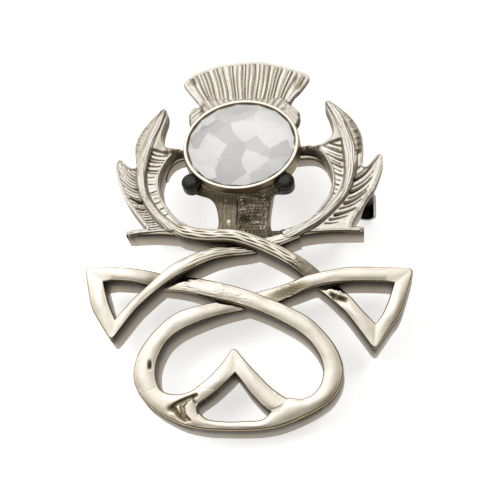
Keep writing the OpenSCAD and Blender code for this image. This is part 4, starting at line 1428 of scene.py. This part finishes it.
def cut_stone(centre, radii, turn, girdle, crown, back_depth, n=8):
    """A brilliant's corners and facets: table, stars, kites, girdle and pointed back."""
    def ring(share, high, sides, shift):
        return ring_points(centre, radii, turn, share, high, sides, shift)

    points = ring(0.58, girdle + 0.25 + crown, n, 0)
    points += ring(0.79, girdle + 0.25 + crown * 0.72, n, 0.5)
    points += ring(1.0, girdle + 0.25, 2 * n, 0) + ring(1.0, girdle, 2 * n, 0)
    points += ring(0.6, girdle - back_depth * 0.66, n, 0.5)
    points.append((centre[0], centre[1], girdle - back_depth))
    star, upper, lower, waist, tip = n, 2 * n, 4 * n, 6 * n, 7 * n
    faces = [tuple(range(n))]
    for k in range(n):
        before, after = (k - 1) % n, (k + 1) % n
        a, b, c = 2 * k, 2 * k + 1, (2 * k + 2) % (2 * n)
        faces += [(k, star + k, after), (k, star + before, upper + a, star + k),
                  (star + k, upper + a, upper + b), (star + k, upper + b, upper + c),
                  (waist + k, lower + a, lower + b), (waist + k, lower + b, lower + c),
                  (waist + before, lower + a, waist + k, tip)]
    for a in range(2 * n):
        b = (a + 1) % (2 * n)
        faces.append((upper + a, lower + a, lower + b, upper + b))
    return points, faces


print("facets", len(cut_stone((0, 0), (1, 1), 0, 1, 1, 1)[1]))

# %% [markdown]
# The large stone is clear glass on a silvered back. Light goes in through
# the crown and comes back off the back's facets, so the crown looks like a
# mosaic of greys. Those reflections are painted on the back as flat patches
# of a few greys, which the glass in front of it bends and cuts up further.
# The back also glows a little: painted light for what the silvering sends
# back.

# %% Oval stone
GIRDLE_Z = RIM_Z - 0.35
GIRDLE_INSET = 0.08
# Greys of the painted reflections on the back.
FOIL_PAINTED_REFLECTION_TONES = ((0.1, (0.44, 0.44, 0.438)), (0.3, (0.50, 0.50, 0.497)),
              (0.35, (0.585, 0.585, 0.582)), (0.9, (0.65, 0.65, 0.647)))

stone_glass, tree, shader = new_material("stone_glass")
shader.inputs["Base Color"].default_value = (0.98, 0.98, 0.98, 1)
shader.inputs["Roughness"].default_value = 0.02
shader.inputs["IOR"].default_value = 1.52
shader.inputs["Transmission Weight"].default_value = 1.0

glowing_stone_foil, tree, shader = new_material("glowing_stone_foil")
place = tree.nodes.new("ShaderNodeTexCoord")
flatten = tree.nodes.new("ShaderNodeMapping")
flatten.inputs["Scale"].default_value = (1, 1, 0.05)
patches = tree.nodes.new("ShaderNodeTexVoronoi")
patches.inputs["Scale"].default_value = 330
tree.links.new(place.outputs["Object"], flatten.inputs["Vector"])
tree.links.new(flatten.outputs["Vector"], patches.inputs["Vector"])
painted_reflection_greys = toned(tree, FOIL_PAINTED_REFLECTION_TONES, patches.outputs["Color"])
tree.links.new(painted_reflection_greys, shader.inputs["Base Color"])
# The back glows in its own greys: painted light for what the silvering sends back.
tree.links.new(painted_reflection_greys, shader.inputs["Emission Color"])
shader.inputs["Emission Strength"].default_value = 0.52
shader.inputs["Metallic"].default_value = 0.3
shader.inputs["Roughness"].default_value = 0.6

points, faces = cut_stone(STONE_AT, (STONE_RX - GIRDLE_INSET, STONE_RY - GIRDLE_INSET), STONE_TURN,
                          GIRDLE_Z, CROWN_H - 0.25, 1.5)
stone = make_piece("oval_stone", points, faces, stone_glass, sharp=1)
stone.data.materials.append(glowing_stone_foil)
below_girdle = seat([(STONE_AT[0], STONE_AT[1], GIRDLE_Z - 0.05)])[0]
for face in stone.data.polygons:
    if (np.array(face.center) - below_girdle) @ UP < 0:
        face.material_index = 1
print("silvered facets", sum(face.material_index for face in stone.data.polygons))

# %% [markdown]
# The two small stones are nearly black. They are cut in the same way and
# sit low in their cups. A dark glossy surface does for them: at this size
# no light comes back out of them, so they need no real glass.

# %% Small dark stones
dark_glass, tree, shader = new_material("dark_glass")
shader.inputs["Base Color"].default_value = (0.022, 0.022, 0.02, 1)
shader.inputs["Roughness"].default_value = 0.25
shader.inputs["Specular IOR Level"].default_value = 0.35
for name, at in (("small_stone_left", SMALL_LEFT_AT), ("small_stone_right", SMALL_RIGHT_AT)):
    points, faces = cut_stone(at, (SMALL_R, SMALL_R), 0, CAST_T - 0.1, 0.35, 0.9)
    make_piece(name, points, faces, dark_glass, sharp=1)

# %% [markdown]
# The pin fitting behind the leaves is plain steel and mostly hidden. Its
# node from the model has the right shape, so it stays and only gets a
# finish: satin steel in two close greys, with painted shade down in the
# hollow of the catch.

# %% Pin fitting
STEEL_TONES = ((0.3, (0.26, 0.245, 0.22)), (0.7, (0.52, 0.50, 0.46)))
PAINTED_HOLLOW_SHADE = (0.05, 0.043, 0.033, 1)

fitting_steel, tree, shader = new_material("fitting_steel")
place = tree.nodes.new("ShaderNodeTexCoord")
steel = toned(tree, STEEL_TONES, noise_on(tree, place, 700, 3))
looks_up = remapped(tree, reach_along(tree, place.outputs["Normal"], UP), -0.1, 0.3, shape="SMOOTHSTEP")
deep = reach_along(tree, place.outputs["Object"], UP)
deep = remapped(tree, deep, level_at(-1.9), level_at(-2.5), shape="SMOOTHSTEP")
in_hollow = combined(tree, "MULTIPLY", looks_up, deep)
# Painted shade on the upward faces deep in the catch's hollow.
tree.links.new(colour_mix(tree, "MIX", in_hollow, steel, PAINTED_HOLLOW_SHADE), shader.inputs["Base Color"])
shader.inputs["Metallic"].default_value = 1.0
shader.inputs["Roughness"].default_value = 0.42

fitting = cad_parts["pin_fitting"]
fitting.data.materials.clear()
fitting.data.materials.append(fitting_steel)
print("carried over with a new finish:", fitting.name)

# %% [markdown]
# Each new piece stands for one of the model's nodes, which is then hidden:
# the three stones for their own nodes, and all the metal for the casting.

# %% What each piece replaces, and the end
STONE_NODES = {"oval_stone": "centre_stone", "small_stone_left": "side_stone_left",
               "small_stone_right": "side_stone_right"}
for name, piece in pieces.items():
    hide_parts(STONE_NODES.get(name, "casting"))
